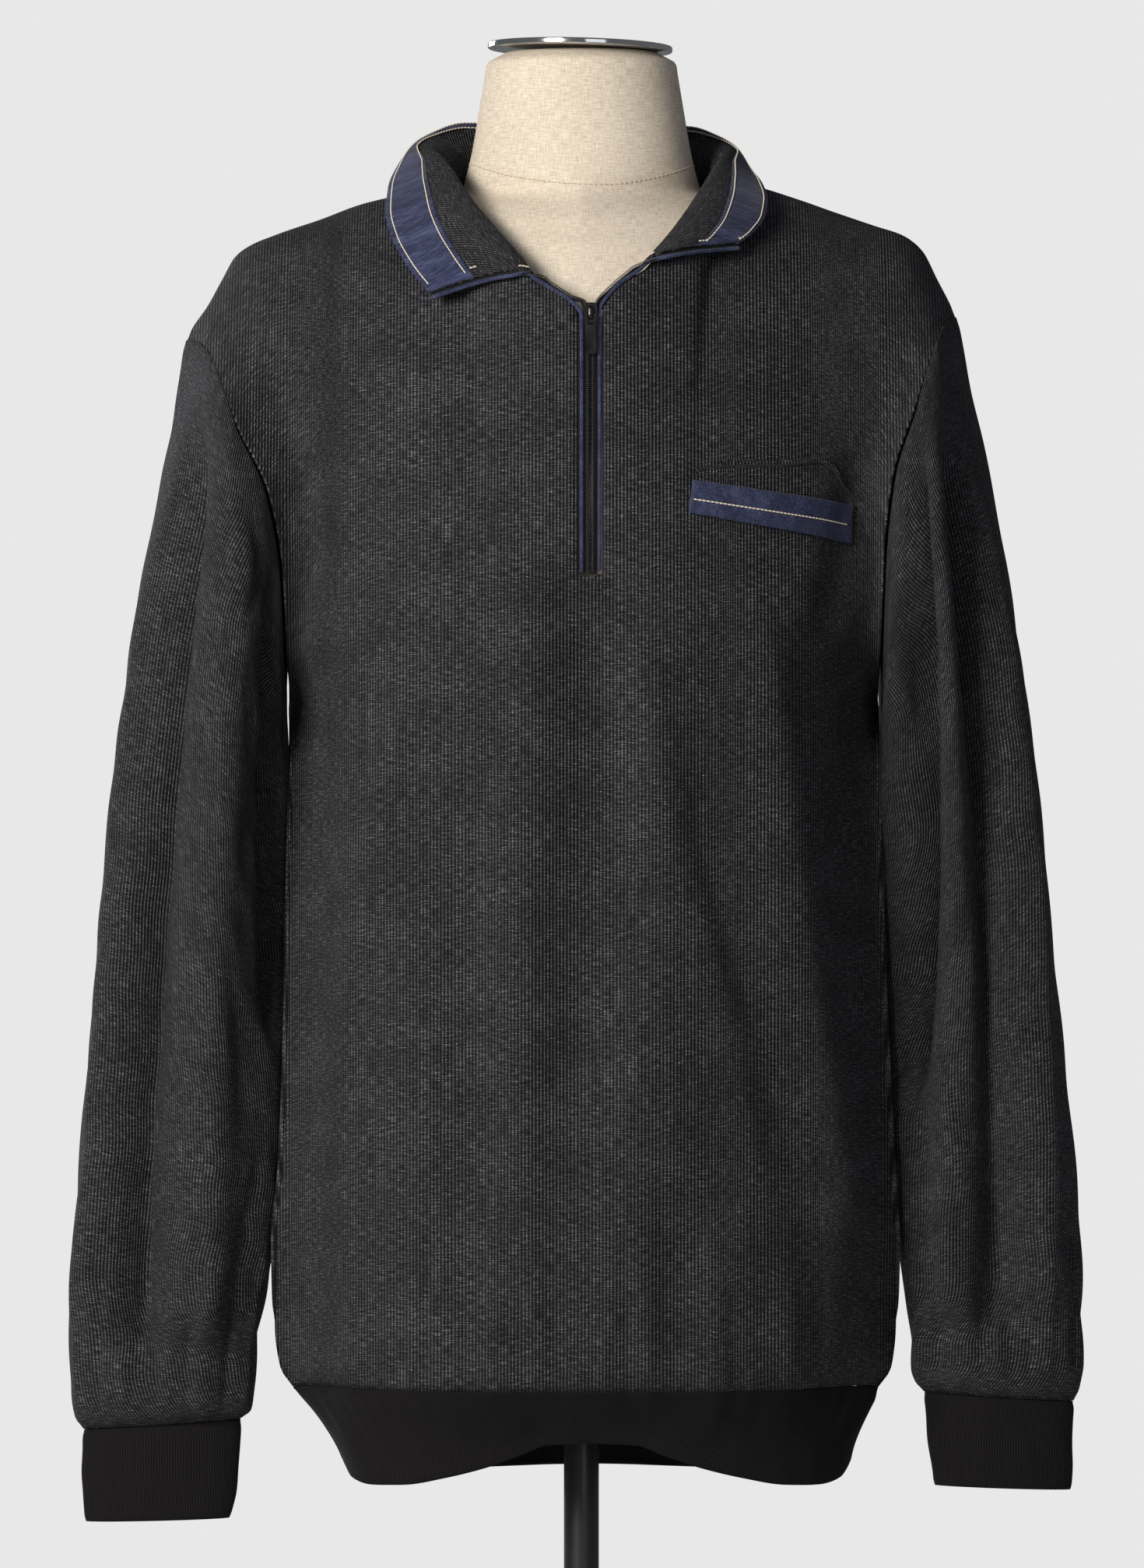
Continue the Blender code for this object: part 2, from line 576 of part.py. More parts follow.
def front_at(x, z):
    """Points of the front's outer surface at places given square on, found by halving along each column."""
    x, z = np.broadcast_arrays(np.asarray(x, float), np.asarray(z, float))
    low, high = np.zeros(x.shape), np.full(x.shape, 2.0)
    for _ in range(30):
        middle = (low + high) / 2
        is_left = x > ZIP_X
        across = (x - ZIP_X) / np.abs(side_edge(middle, is_left) - ZIP_X)
        below = body_base(across, middle, FRONT)[..., 2] < z
        low, high = np.where(below, middle, low), np.where(below, high, middle)
    return body_surface(across, middle, FRONT)


# ------------------------------------------------------------------------------------------------ meshes
def make_material(name):
    """The plain finish of that name."""
    material = bpy.data.materials.get(name)
    if material:
        return material
    colour, roughness, metallic = FINISHES[name]
    material = bpy.data.materials.new(name)
    material.use_nodes = True
    surface = material.node_tree.nodes["Principled BSDF"]
    surface.inputs["Base Color"].default_value = colour
    surface.inputs["Roughness"].default_value = roughness
    surface.inputs["Metallic"].default_value = metallic
    return material


def add_object(name, points, faces, finish):
    """A named object from points and faces, turned to face out, with its finish."""
    mesh = bpy.data.meshes.new(name)
    mesh.from_pydata([tuple(point) for point in points], [], faces)
    mesh.update()
    shape = bmesh.new()
    shape.from_mesh(mesh)
    if shape.calc_volume(signed=True) < 0:
        bmesh.ops.reverse_faces(shape, faces=shape.faces[:])
    shape.to_mesh(mesh)
    shape.free()
    mesh.materials.append(make_material(finish))
    thing = bpy.data.objects.new(name, mesh)
    bpy.context.scene.collection.objects.link(thing)
    return thing


def add_wall(name, outer, inner, finish, keep=None, is_tube=False):
    """A closed wall between two grids of points, rows by columns. Cells where keep is False are left open, and the
    last column meets the first where is_tube is set. Both faces share their diagonals, so they never cross."""
    rows, columns = outer.shape[:2]
    cells_across = columns if is_tube else columns - 1
    if keep is None:
        keep = np.ones((rows - 1, cells_across), bool)
    outer_faces = []
    for row in range(rows - 1):
        for cell in range(cells_across):
            if not keep[row, cell]:
                continue
            after = (cell + 1) % columns
            corners = [row * columns + cell, row * columns + after]
            corners += [corners[1] + columns, corners[0] + columns]
            outer_faces.append((corners[0], corners[1], corners[2]))
            outer_faces.append((corners[0], corners[2], corners[3]))
    count = rows * columns
    edges = {(face[i], face[(i + 1) % 3]) for face in outer_faces for i in range(3)}
    rim = [(b, a, a + count, b + count) for a, b in sorted(edges) if (b, a) not in edges]
    faces = outer_faces + [tuple(corner + count for corner in reversed(face)) for face in outer_faces]
    for b, a, under_a, under_b in rim:
        faces += [(b, a, under_a), (b, under_a, under_b)]
    points = np.concatenate([outer.reshape(-1, 3), inner.reshape(-1, 3)])
    used = sorted({corner for face in faces for corner in face})
    place = {corner: index for index, corner in enumerate(used)}
    faces = [tuple(place[corner] for corner in face) for face in faces]
    return add_object(name, points[used], faces, finish)


def add_stack(name, rings, finish):
    """A solid through rings of equal count, closed flat at both ends."""
    count, around = rings.shape[:2]
    faces = [tuple(range(around))[::-1]]
    for ring in range(count - 1):
        for index in range(around):
            after = (index + 1) % around
            first, second = ring * around, (ring + 1) * around
            faces.append((first + index, first + after, second + after, second + index))
    faces.append(tuple((count - 1) * around + index for index in range(around)))
    return add_object(name, rings.reshape(-1, 3), faces, finish)


def add_sweep(name, path, frame_up, half_wide, half_thick, sides, finish):
    """A solid of oval section along a path, its thickness along frame_up at each point."""
    along = unit(np.gradient(path, axis=0))
    upward = unit(frame_up - along * np.sum(frame_up * along, axis=-1, keepdims=True))
    sideways = np.cross(along, upward)
    angles = (np.arange(sides) + 0.5) * 2 * pi / sides
    wide = half_wide * np.cos(angles)[None, :, None] * sideways[:, None, :]
    thick = half_thick * np.sin(angles)[None, :, None] * upward[:, None, :]
    return add_stack(name, path[:, None, :] + wide + thick, finish)


def signed_fractions(fractions):
    """The same fractions from the right edge through the middle to the left edge."""
    outward = list(fractions)
    inward = [-value for value in reversed(outward) if value > 0]
    return np.array(inward + outward)


# ------------------------------------------------------------------------------------------------ the sewn pieces
def panel_levels():
    """The rows of a panel from the hem seam to the shoulder seam."""
    return np.array(LOW_LEVELS + tuple(1.0 + turn for turn in TURNS))


def add_panel(name, face, fractions, slit):
    """The front or the back: a wall over the body surface, with the zip's slit left out of the front."""
    across, level = np.meshgrid(signed_fractions(fractions), panel_levels())
    if slit:
        middle = across.shape[1] // 2
        across[:, middle - 1] = across_at(RIGHT * SLIT_HALF_WIDTH, level[:, 0])
        across[:, middle] = across_at(LEFT * SLIT_HALF_WIDTH, level[:, 0])
    outer = body_surface(across, level, face)
    inner = outer + body_inward(outer) * KNIT
    keep = np.ones((across.shape[0] - 1, across.shape[1] - 1), bool)
    if slit:
        middle = across.shape[1] // 2 - 1
        keep[level[:-1, 0] > 1.0 + SLIT_END_TURN - 0.01, middle] = False
    return add_wall(name, outer, inner, "knit", keep)


def armhole(around, side):
    """The armhole seam of one side: around is 0 at the shoulder tip, through the front, 0.5 at the armpit, back."""
    in_front = around <= 0.5
    turn = np.where(in_front, 1.0 - 2.0 * around, 2.0 * around - 1.0)
    across = np.full(around.shape, float(side))
    front = body_surface(across, 1.0 + turn, FRONT)
    behind = body_surface(across, 1.0 + turn, BACK)
    return np.where(in_front[..., None], front, behind)


def oval(table, around, down, side):
    """Points on the leaning oval sections of a sleeve or cuff table."""
    angle = 2 * pi * around
    toward = (1.0 + np.cos(angle)) / 2
    outer, inner = read(table, "down", "outer", down), read(table, "down", "inner", down)
    outer_z, inner_z = read(table, "down", "outer_z", down), read(table, "down", "inner_z", down)
    if hasattr(table[0], "half_depth"):
        half = read(table, "down", "half_depth", down)
        depth = SLEEVE_MIDDLE_Y - half * np.sin(angle)
    else:
        front, back = read(table, "down", "front", down), read(table, "down", "back", down)
        middle = SLEEVE_MIDDLE_Y
        depth = np.where(np.sin(angle) > 0, middle + (front - middle) * np.sin(angle),
                         middle - (back - middle) * np.sin(angle))
    x = side * (inner + (outer - inner) * toward)
    return np.stack([x, depth, inner_z + (outer_z - inner_z) * toward], axis=-1)


def sleeve_folds(folds, around, down):
    """How far a sleeve's folds raise its cloth."""
    total = np.zeros(around.shape)
    for fold in folds:
        run = np.clip((down - fold.top_down) / (fold.foot_down - fold.top_down), 0.0, 1.0)
        line = fold.top_around + (fold.foot_around - fold.top_around) * run
        off = np.abs((around - line + 0.5) % 1.0 - 0.5)
        fade = eased((down - fold.top_down + 0.08) / 0.12) * eased((fold.foot_down + 0.06 - down) / 0.10)
        total += fold.height * fade * np.exp(-((off / fold.width) ** 2))
    return total


def sleeve_surface(around, down, side):
    """Points of a sleeve's outer surface and its inward directions."""
    table = RIGHT_SLEEVE if side == RIGHT else LEFT_SLEEVE
    folds = RIGHT_SLEEVE_FOLDS if side == RIGHT else LEFT_SLEEVE_FOLDS
    points = oval(table, around, down, side)
    start = armhole(around, side) - oval(table, around, np.zeros_like(down), side)
    seam_run = unit(armhole((around + 0.004) % 1.0, side) - armhole((around - 0.004) % 1.0, side))
    leave = np.array([side, 0.0, -0.35])
    leave = unit(leave - seam_run * np.sum(leave * seam_run, axis=-1, keepdims=True))
    start = start + leave * SLEEVE_GAP
    fade = 1.0 - eased(down / SLEEVE_BLEND)
    points = points + start * fade[..., None]
    opposite = sleeve_centre(table, down, side)
    spans = np.stack([read(table, "down", "outer", down) - read(table, "down", "inner", down),
                      read(table, "down", "back", down) - read(table, "down", "front", down)], axis=-1) / 2
    reach = opposite - points
    inward = unit(np.stack([reach[..., 0] / spans[..., 0] ** 2, reach[..., 1] / spans[..., 1] ** 2,
                            reach[..., 2] / 0.12**2 * fade], axis=-1))
    shared = np.clip(np.cos(2 * pi * around), 0.0, 1.0) ** 0.5 * (1.0 - eased(down / 0.10))
    inward = unit(inward * (1.0 - shared)[..., None] + body_inward(points) * shared[..., None])
    edge_fade = eased(down / 0.10)
    raised = sleeve_folds(folds, around, down) * edge_fade * (1.0 - down**30)
    return points - inward * raised[..., None], inward


def sleeve_centre(table, down, side):
    """The middle of a sleeve's section."""
    outer, inner = read(table, "down", "outer", down), read(table, "down", "inner", down)
    outer_z, inner_z = read(table, "down", "outer_z", down), read(table, "down", "inner_z", down)
    return np.stack([side * (outer + inner) / 2, np.full(down.shape, SLEEVE_MIDDLE_Y), (outer_z + inner_z) / 2], -1)


def sleeve_arounds():
    """The columns of a sleeve, which meet the rows of both panels at the armhole."""
    turns = np.array(TURNS)
    return np.concatenate([(1.0 - turns[::-1]) / 2, (1.0 + turns[1:-1]) / 2])


def add_sleeve(name, side):
    """A sleeve as one tube from the armhole seam to the cuff seam."""
    around, down = np.meshgrid(sleeve_arounds(), np.array(SLEEVE_DOWNS))
    outer, inward = sleeve_surface(around, down, side)
    return add_wall(name, outer, outer + inward * KNIT, "knit", is_tube=True)


def add_cuff(name, side):
    """A ribbed cuff as a flat tube under the sleeve."""
    table = RIGHT_CUFF if side == RIGHT else LEFT_CUFF
    around, down = np.meshgrid(np.arange(CUFF_AROUNDS) / CUFF_AROUNDS, column(table, "down"))
    outer = oval(table, around, down, side)
    outer[..., 2] -= SEAM_GAP * 1.2
    spans = np.stack([read(table, "down", "outer", down) - read(table, "down", "inner", down),
                      2 * read(table, "down", "half_depth", down)], axis=-1) / 2
    reach = sleeve_centre_of_cuff(table, down, side) - outer
    inward = unit(np.stack([reach[..., 0] / spans[..., 0] ** 2, reach[..., 1] / spans[..., 1] ** 2,
                            np.zeros(down.shape)], axis=-1))
    return add_wall(name, outer, outer + inward * RIB, "rib", is_tube=True)


def sleeve_centre_of_cuff(table, down, side):
    """The middle of a cuff's section."""
    outer, inner = read(table, "down", "outer", down), read(table, "down", "inner", down)
    return np.stack([side * (outer + inner) / 2, np.full(down.shape, SLEEVE_MIDDLE_Y), np.zeros(down.shape)], -1)


def hem_lower(across, face):
    """Points of the hem band's lower edge."""
    fraction = np.abs(across)
    side_x = np.where(across > 0, HEM_LOWER_LEFT, HEM_LOWER_RIGHT)
    depth = HEM_LOWER_FRONT if face == FRONT else HEM_LOWER_BACK
    crown = (1.0 - fraction**BODY_SQUARENESS) ** (1.0 / BODY_SQUARENESS)
    x = ZIP_X + (side_x - ZIP_X) * fraction
    y = SIDE_SEAM_Y + (depth - SIDE_SEAM_Y) * crown
    z = read(HEM_EDGE, "fraction", "front" if face == FRONT else "back", fraction)
    return np.stack([x, y, z], axis=-1)


def add_hem_band():
    """The ribbed hem band: one tube from the body's hem seam, drawn in towards its lower edge."""
    rings = []
    for share in HEM_ROWS:
        ring = []
        for face, fractions in ((FRONT, FRONT_FRACTIONS), (BACK, BACK_FRACTIONS)):
            across = signed_fractions(fractions)
            across = across if face == FRONT else across[::-1][1:-1]
            top = body_surface(across, np.zeros(across.shape), face)
            top[..., 2] -= SEAM_GAP * 1.3
            low = hem_lower(across, face)
            sideways = 1.0 - (1.0 - share) ** 1.8
            level_mix = np.array([sideways, sideways, share])
            ring.append(top + (low - top) * level_mix)
        rings.append(np.concatenate(ring))
    outer = np.stack(rings)
    inward = body_inward(outer)
    return add_wall("hem_band", outer, outer + inward * RIB, "rib", is_tube=True)


def neck_seam(station):
    """The neck seam by signed station: -1 and 1 at the zip on the right and left, 0 behind the neck."""
    share = np.abs(station)
    behind = share <= NECK_SIDE_STATION
    back_fraction = NECK_FRACTION * share / NECK_SIDE_STATION
    front_share = np.clip((share - NECK_SIDE_STATION) / (1.0 - NECK_SIDE_STATION), 0.0, 1.0)
    front_fraction = NECK_FRACTION + (COLLAR_END_FRACTION - NECK_FRACTION) * front_share
    side = np.where(station > 0, 1.0, -1.0)
    top = np.full(station.shape, 2.0)
    back = body_surface(side * back_fraction, top, BACK)
    front = body_surface(side * front_fraction, top, FRONT)
    return np.where(behind[..., None], back, front)


def collar_surface(station, height):
    """Points of the collar's under face, which faces out behind the neck and down where it lies on the chest."""
    share = np.abs(station)
    is_left = station > 0
    seam = neck_seam(station)
    seam = seam - body_inward(seam) * COLLAR_LIFT
    free = np.stack([two_sides(COLLAR_ROWS, "station", share, is_left, "right_" + axis, "left_" + axis)
                     for axis in "xyz"], axis=-1)
    rise = read(COLLAR_ROWS, "station", "rise", share)
    forward = eased((share - 0.55) / 0.40)
    lift = unit(np.stack([np.zeros(share.shape), -0.75 * forward, 1.0 - 0.25 * forward], axis=-1))
    roll = np.sin(pi * height**0.62)
    return seam + (free - seam) * height[..., None] + lift * (rise * roll)[..., None]


def collar_grid():
    """The collar's grid of stations and heights, with its under face and the directions out of its inner face."""
    stations = np.linspace(-1.0, 1.0, 2 * COLLAR_STATIONS + 1)
    station, height = np.meshgrid(stations, np.array(COLLAR_HEIGHTS))
    under = collar_surface(station, height)
    step = 0.004
    along = collar_surface(np.clip(station + step, -1, 1), height) - collar_surface(
        np.clip(station - step, -1, 1), height)
    up = collar_surface(station, np.clip(height + step, 0, 1)) - collar_surface(
        station, np.clip(height - step, 0, 1))
    return under, unit(np.cross(along, up))


def add_collar():
    """The stand collar and, on the upper part of its inner face, the facing tape."""
    under, out = collar_grid()
    visible = under + out * COLLAR_THICKNESS
    add_wall("collar", under, visible, "knit")
    tape_low = visible[TAPE_FIRST_HEIGHT:] + out[TAPE_FIRST_HEIGHT:] * SEAM_GAP * 1.5
    tape_high = tape_low + out[TAPE_FIRST_HEIGHT:] * TAPE_THICKNESS
    add_wall("collar_tape", tape_low, tape_high, "twill")


def slit_points(off_zip, turns, depth):
    """Points along the zip's slit at a distance from its middle, moved in from the cloth's face by depth."""
    level = 1.0 + np.asarray(turns, float)
    points = body_surface(across_at(off_zip, level), level, FRONT)
    return points + body_inward(points) * depth


def add_piping(name, side):
    """The twill piping along one edge of the slit."""
    turns = np.linspace(PIPING_TURNS[0], PIPING_TURNS[1], 14)
    path = slit_points(side * (SLIT_HALF_WIDTH - SEAM_GAP - PIPING_RADIUS), turns, PIPING_DEPTH)
    out = -body_inward(path)
    add_sweep(name, path, out, PIPING_RADIUS, PIPING_RADIUS, 6, "twill")


def slider_frame():
    """The slider's middle and its axes: across, outward and up, leaning with the cloth at the zip's upper end."""
    low, high = slit_points(CHAIN_RADIUS, SLIDER_FOOT_TURNS, CHAIN_DEPTH)
    up = unit((high - low) * np.array([0.0, 1.0, 1.0]))
    across = np.array([1.0, 0.0, 0.0])
    outward = np.cross(across, up)
    middle = high + up * ((SLIDER_TOP_HEIGHT - high[2]) / up[2] - SLIDER_LENGTH / 2)
    middle[0] = ZIP_X
    return middle, across, outward, up


def add_zip_chain(name, side):
    """Half of the zip: closed up to the slider, then along the front's open edge and the collar's end."""
    turns = np.linspace(CHAIN_FOOT_TURN, CHAIN_PART_TURN, 9)
    closed = slit_points(side * (CHAIN_RADIUS + SEAM_GAP / 2), turns, CHAIN_DEPTH)
    middle, across, outward, up = slider_frame()
    parting = np.array([middle + across * side * off + up * rise for off, rise in CHAIN_PARTING])
    off_edge = CHAIN_RADIUS + SEAM_GAP * 2
    fractions = np.array(LAPEL_FRACTIONS) * side
    edge = body_surface(fractions, 2.0, FRONT)
    run = body_surface(fractions + 0.005, 2.0, FRONT) - body_surface(fractions - 0.005, 2.0, FRONT)
    edge_out = -body_inward(edge)
    lapel = edge + unit(np.cross(edge_out, run)) * off_edge + edge_out * np.array(LAPEL_LIFTS)[:, None]
    heights = np.array(CHAIN_HEIGHTS)
    stations = np.full(heights.shape, float(side))
    under = collar_surface(stations, heights)
    climb = unit(collar_surface(stations, heights + 0.01) - collar_surface(stations, heights - 0.01))
    away = under - collar_surface(stations * 0.98, heights)
    away = unit(away - climb * np.sum(away * climb, axis=-1, keepdims=True))
    out = np.cross(climb, away) * side
    corner = CHAIN_CORNER_LIFT * np.exp(-heights / 0.14)[:, None]
    end = under + away * off_edge + out * COLLAR_THICKNESS / 2 - body_inward(under) * corner
    path = np.concatenate([closed, parting, lapel, end])
    frame_up = np.concatenate([-body_inward(closed), np.tile(outward, (len(parting), 1)), edge_out, out])
    add_sweep(name, path, frame_up, CHAIN_RADIUS, CHAIN_RADIUS, 6, "chain")


def add_pocket_welt():
    """The chest pocket's welt, laid on the front from its points moved out."""
    corners = np.array(POCKET_CORNERS)
    run, fall = np.meshgrid(np.linspace(0.0, 1.0, POCKET_CELLS[0] + 1), np.linspace(0.0, 1.0, POCKET_CELLS[1] + 1))
    top = corners[0] + (corners[1] - corners[0]) * run[..., None]
    foot = corners[3] + (corners[2] - corners[3]) * run[..., None]
    place = top + (foot - top) * fall[..., None]
    face = front_at(place[..., 0], place[..., 1])
    out = -body_inward(face)
    low = face + out * POCKET_LIFT
    add_wall("pocket_welt", low + out * POCKET_THICKNESS, low, "twill")


def plate(name, half_width, half_length, low_y, high_y, finish):
    """A flat plate with rounded corners, lying in the x-z plane."""
    angles = 2 * pi * (np.arange(16) + 0.5) / 16
    x = half_width * np.sign(np.cos(angles)) * np.abs(np.cos(angles)) ** 0.5
    z = half_length * np.sign(np.sin(angles)) * np.abs(np.sin(angles)) ** 0.5
    rings = [np.stack([x, np.full(x.shape, y), z], axis=-1) for y in (low_y, high_y)]
    return add_stack(name, np.stack(rings), finish)


def fuse(target, helpers):
    """Joins helper solids to the target with Boolean unions, and keeps the helpers out of the model."""
    for helper in helpers:
        helper.parent = target
        helper.hide_render = True
        helper.display_type = "WIRE"
        union = target.modifiers.new(helper.name, "BOOLEAN")
        union.operation = "UNION"
        union.object = helper


def add_slider_and_pull():
    """The slider, with its two plates, post and bail, and the pull tab that hinges under the bail."""
    half_length, half_width = SLIDER_LENGTH / 2, SLIDER_WIDTH / 2
    inner = CHAIN_RADIUS + SLIDER_PLAY
    face = inner + SLIDER_PLATE
    slider = plate("zip_slider", half_width, half_length, -face, -inner, "gunmetal")
    back = plate("slider_back_plate", half_width, half_length, inner, face, "gunmetal")
    sunk = face - SLIDER_PLATE / 2
    post = plate("slider_post", POST_WIDTH / 2, POST_LENGTH / 2, -sunk, sunk, "gunmetal")
    post.location = (0.0, 0.0, half_length - POST_LENGTH / 2 - SLIDER_PLATE / 2)
    bend = np.linspace(0.0, pi, 11)
    root = face - SLIDER_PLATE / 2
    arch_y = -root - (face + BAIL_REACH - BAIL_THICKNESS / 2 - root) * np.sin(bend) ** 0.45
    arch_z = BAIL_HALF_SPAN * np.sign(np.cos(bend)) * np.abs(np.cos(bend)) ** 0.6
    path = np.stack([np.zeros(bend.shape), arch_y, arch_z], axis=-1)
    sideways = np.tile([1.0, 0.0, 0.0], (len(bend), 1))
    bail = add_sweep("slider_bail", path, sideways, BAIL_THICKNESS / 2, BAIL_WIDTH / 2, 8, "gunmetal")
    fuse(slider, (back, post, bail))
    middle, across, outward, up = slider_frame()
    pull = add_pull_tab()
    for thing, off_middle in ((slider, np.zeros(3)), (pull, outward * (face + PULL_CLEAR) + up * PULL_HINGE_RISE)):
        thing.location = middle + off_middle
        thing.rotation_euler = (-np.arctan2(up[1], up[2]), 0.0, 0.0)


def add_pull_tab():
    """The pull tab, hanging from its bar at the origin, with the hole that the bail passes through."""
    x = np.array([-PULL_WIDTH / 2, -PULL_HOLE[0] / 2, PULL_HOLE[0] / 2, PULL_WIDTH / 2])
    bar = PULL_BAR / 2
    foot = -(PULL_LENGTH - bar)
    z = np.array([bar, -bar, -bar - PULL_HOLE[1], -bar - PULL_HOLE[1] - 0.003, foot + 0.0012, foot])
    width_share = np.array([0.92, 1.0, 1.0, 1.0, 1.0, 0.86])
    front = np.stack([x[None, :] * width_share[:, None], np.full((6, 4), -PULL_THICKNESS / 2),
                      np.repeat(z[:, None], 4, axis=1)], axis=-1)
    back = front * np.array([1.0, -1.0, 1.0])
    keep = np.ones((5, 3), bool)
    keep[1, 1] = False
    return add_wall("zip_pull", front, back, "gunmetal", keep)


def clear_scene():
    """Removes what the scene holds."""
    for thing in list(bpy.data.objects):
        bpy.data.objects.remove(thing, do_unlink=True)


def add_form():
    """The dress form: torso and neck as one solid, its cap, the pole and the base."""
    angles = 2 * pi * np.arange(FORM_AROUNDS) / FORM_AROUNDS
    rings = []
    for row in FORM_ROWS:
        power = 2.0 / row.squareness
        across = np.sign(np.cos(angles)) * np.abs(np.cos(angles)) ** power
        along = np.sign(np.sin(angles)) * np.abs(np.sin(angles)) ** power
        depth = np.where(along < 0, -row.front, row.back)
        rings.append(np.stack([across * row.half_width, along * depth, np.full(angles.shape, row.height)], -1))
    add_stack("form_torso", np.stack(rings), "linen")
    cap = add_disc("form_cap", CAP_RADIUS, CAP_THICKNESS, 0.0009, "chrome")
    cap.location = CAP_CENTRE
    cap.rotation_euler = (0.0, CAP_LEAN, 0.0)
    base = add_disc("stand_base", BASE_RADIUS, BASE_THICKNESS, BASE_EDGE, "black_paint")
    base.location = (0.0, 0.0, BASE_THICKNESS / 2)
    low = BASE_THICKNESS + SEAM_GAP
    high = FORM_ROWS[0].height - SEAM_GAP
    pole = add_disc("stand_pole", POLE_RADIUS, high - low, 0.0003, "black_paint", 24)
    pole.location = (0.0, 0.0, (low + high) / 2)


def add_disc(name, radius, thickness, edge, finish, segments=ROUND_SEGMENTS):
    """A round plate or bar about z with a small bevel on both rims."""
    angles = 2 * pi * np.arange(segments) / segments
    circle = np.stack([np.cos(angles), np.sin(angles), np.zeros(segments)], axis=-1)
    half = thickness / 2
    levels = ((radius - edge, -half), (radius, -half + edge), (radius, half - edge), (radius - edge, half))
    rings = np.stack([circle * size + np.array([0.0, 0.0, level]) for size, level in levels])
    return add_stack(name, rings, finish)


def main():
    """Builds every piece."""
    clear_scene()
    add_panel("front", FRONT, FRONT_FRACTIONS, slit=True)
    add_panel("back", BACK, BACK_FRACTIONS, slit=False)
    add_sleeve("sleeve_right", RIGHT)
    add_sleeve("sleeve_left", LEFT)
    add_cuff("cuff_right", RIGHT)
    add_cuff("cuff_left", LEFT)
    add_hem_band()
    add_collar()
    add_piping("piping_right", RIGHT)
    add_piping("piping_left", LEFT)
    add_zip_chain("zip_chain_right", RIGHT)
    add_zip_chain("zip_chain_left", LEFT)
    add_slider_and_pull()
    add_pocket_welt()
    add_form()


if __name__ == "__main__":
    main()
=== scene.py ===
"""Looks of a half-zip knitted sweatshirt, worn open at the neck on a linen dress form.

Metres, +Z up, the front faces -Y and the wearer's left is +X. The cloth is worked out as grids of points over
one body surface, which keeps close to the solids: the body's sides and the sleeves' folds are fuller here. A place
on the body is (across, level): across runs from -1 at the wearer's right edge through 0 at the zip to 1, and level
from 0 at the hem seam through 1 at the armpit to 2 at the shoulder seam and neckline.
"""

import logging
from dataclasses import dataclass
from enum import Enum
from math import pi, radians
from typing import Any

import bpy
import numpy as np
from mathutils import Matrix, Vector


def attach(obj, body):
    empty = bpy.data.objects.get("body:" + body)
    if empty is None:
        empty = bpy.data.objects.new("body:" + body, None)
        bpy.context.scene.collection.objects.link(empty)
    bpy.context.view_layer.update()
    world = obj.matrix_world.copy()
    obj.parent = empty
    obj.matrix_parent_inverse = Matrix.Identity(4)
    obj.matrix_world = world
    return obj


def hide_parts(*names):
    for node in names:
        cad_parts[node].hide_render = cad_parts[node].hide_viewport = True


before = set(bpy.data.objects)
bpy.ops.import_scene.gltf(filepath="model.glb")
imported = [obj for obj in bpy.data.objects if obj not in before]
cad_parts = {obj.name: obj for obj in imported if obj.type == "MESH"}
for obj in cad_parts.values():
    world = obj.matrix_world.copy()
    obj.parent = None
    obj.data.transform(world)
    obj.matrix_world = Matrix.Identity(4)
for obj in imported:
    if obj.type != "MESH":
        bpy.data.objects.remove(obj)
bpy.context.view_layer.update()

LOG = logging.getLogger("sweatshirt")
Array = np.ndarray
BODY = "dressed_form"


class Face(Enum):
    """Which panel of the body a place is on, with the way that it faces along y."""

    FRONT = -1
    BACK = 1


class Side(Enum):
    """The wearer's right or left, with its sign along x."""

    RIGHT = -1
    LEFT = 1

    @property
    def word(self) -> str:
        """The side's name as the nodes have it."""
        return self.name.lower()


# ---- curves and tables
def smooth_curve(places: Array, values: Array, at: Array) -> Array:
    """A cubic through the given values that never swings past them.

    Args:
        places: where the values are given, in rising order.
        values: the values there.
        at: where the curve is read; it is held level outside the given places.
    Returns:
        The curve's values.
    """
    step = np.diff(places)
    rate = np.diff(values) / step
    slope = np.zeros(len(places))
    slope[0], slope[-1] = rate[0], rate[-1]
    same_way = rate[:-1] * rate[1:] > 0
    wide, near = 2 * step[1:] + step[:-1], step[1:] + 2 * step[:-1]
    before, after = np.where(same_way, rate[:-1], 1.0), np.where(same_way, rate[1:], 1.0)
    slope[1:-1] = np.where(same_way, 1.0, 0.0) * (wide + near) / (wide / before + near / after)
    at = np.clip(at, places[0], places[-1])
    cell = np.clip(np.searchsorted(places, at, side="right") - 1, 0, len(step) - 1)
    run = (at - places[cell]) / step[cell]
    start = values[cell] * (1 + 2 * run) * (1 - run) ** 2
    end = values[cell + 1] * (3 - 2 * run) * run**2
    return start + end + step[cell] * run * (1 - run) * (slope[cell] * (1 - run) - slope[cell + 1] * run)


@dataclass(frozen=True)
class Table:
    """Rows of sizes with named columns, read along the first column."""

    names: str
    rows: tuple[tuple[float, ...], ...]

    def column(self, name: str) -> Array:
        """One named column."""
        return np.array([row[self.names.split().index(name)] for row in self.rows])

    def read(self, name: str, at: Array) -> Array:
        """The named column's curve at the given places."""
        return smooth_curve(self.column(self.names.split()[0]), self.column(name), np.asarray(at, float))

    def read_side(self, name: str, at: Array, is_left: Array) -> Array:
        """The column right_name or left_name, for the side that each place is on; "" reads right and left."""
        names = [word + ("_" + name if name else "") for word in ("left", "right")]
        return np.where(is_left, self.read(names[0], at), self.read(names[1], at))


def eased(share: Array) -> Array:
    """Rises smoothly from 0 to 1 as share does: 3 s^2 - 2 s^3."""
    share = np.clip(share, 0.0, 1.0)
    return share * share * (3.0 - 2.0 * share)


def bump_at(offset: Array, width: float) -> Array:
    """A bell of height 1: exp(-(offset / width)^2)."""
    return np.exp(-((offset / width) ** 2))


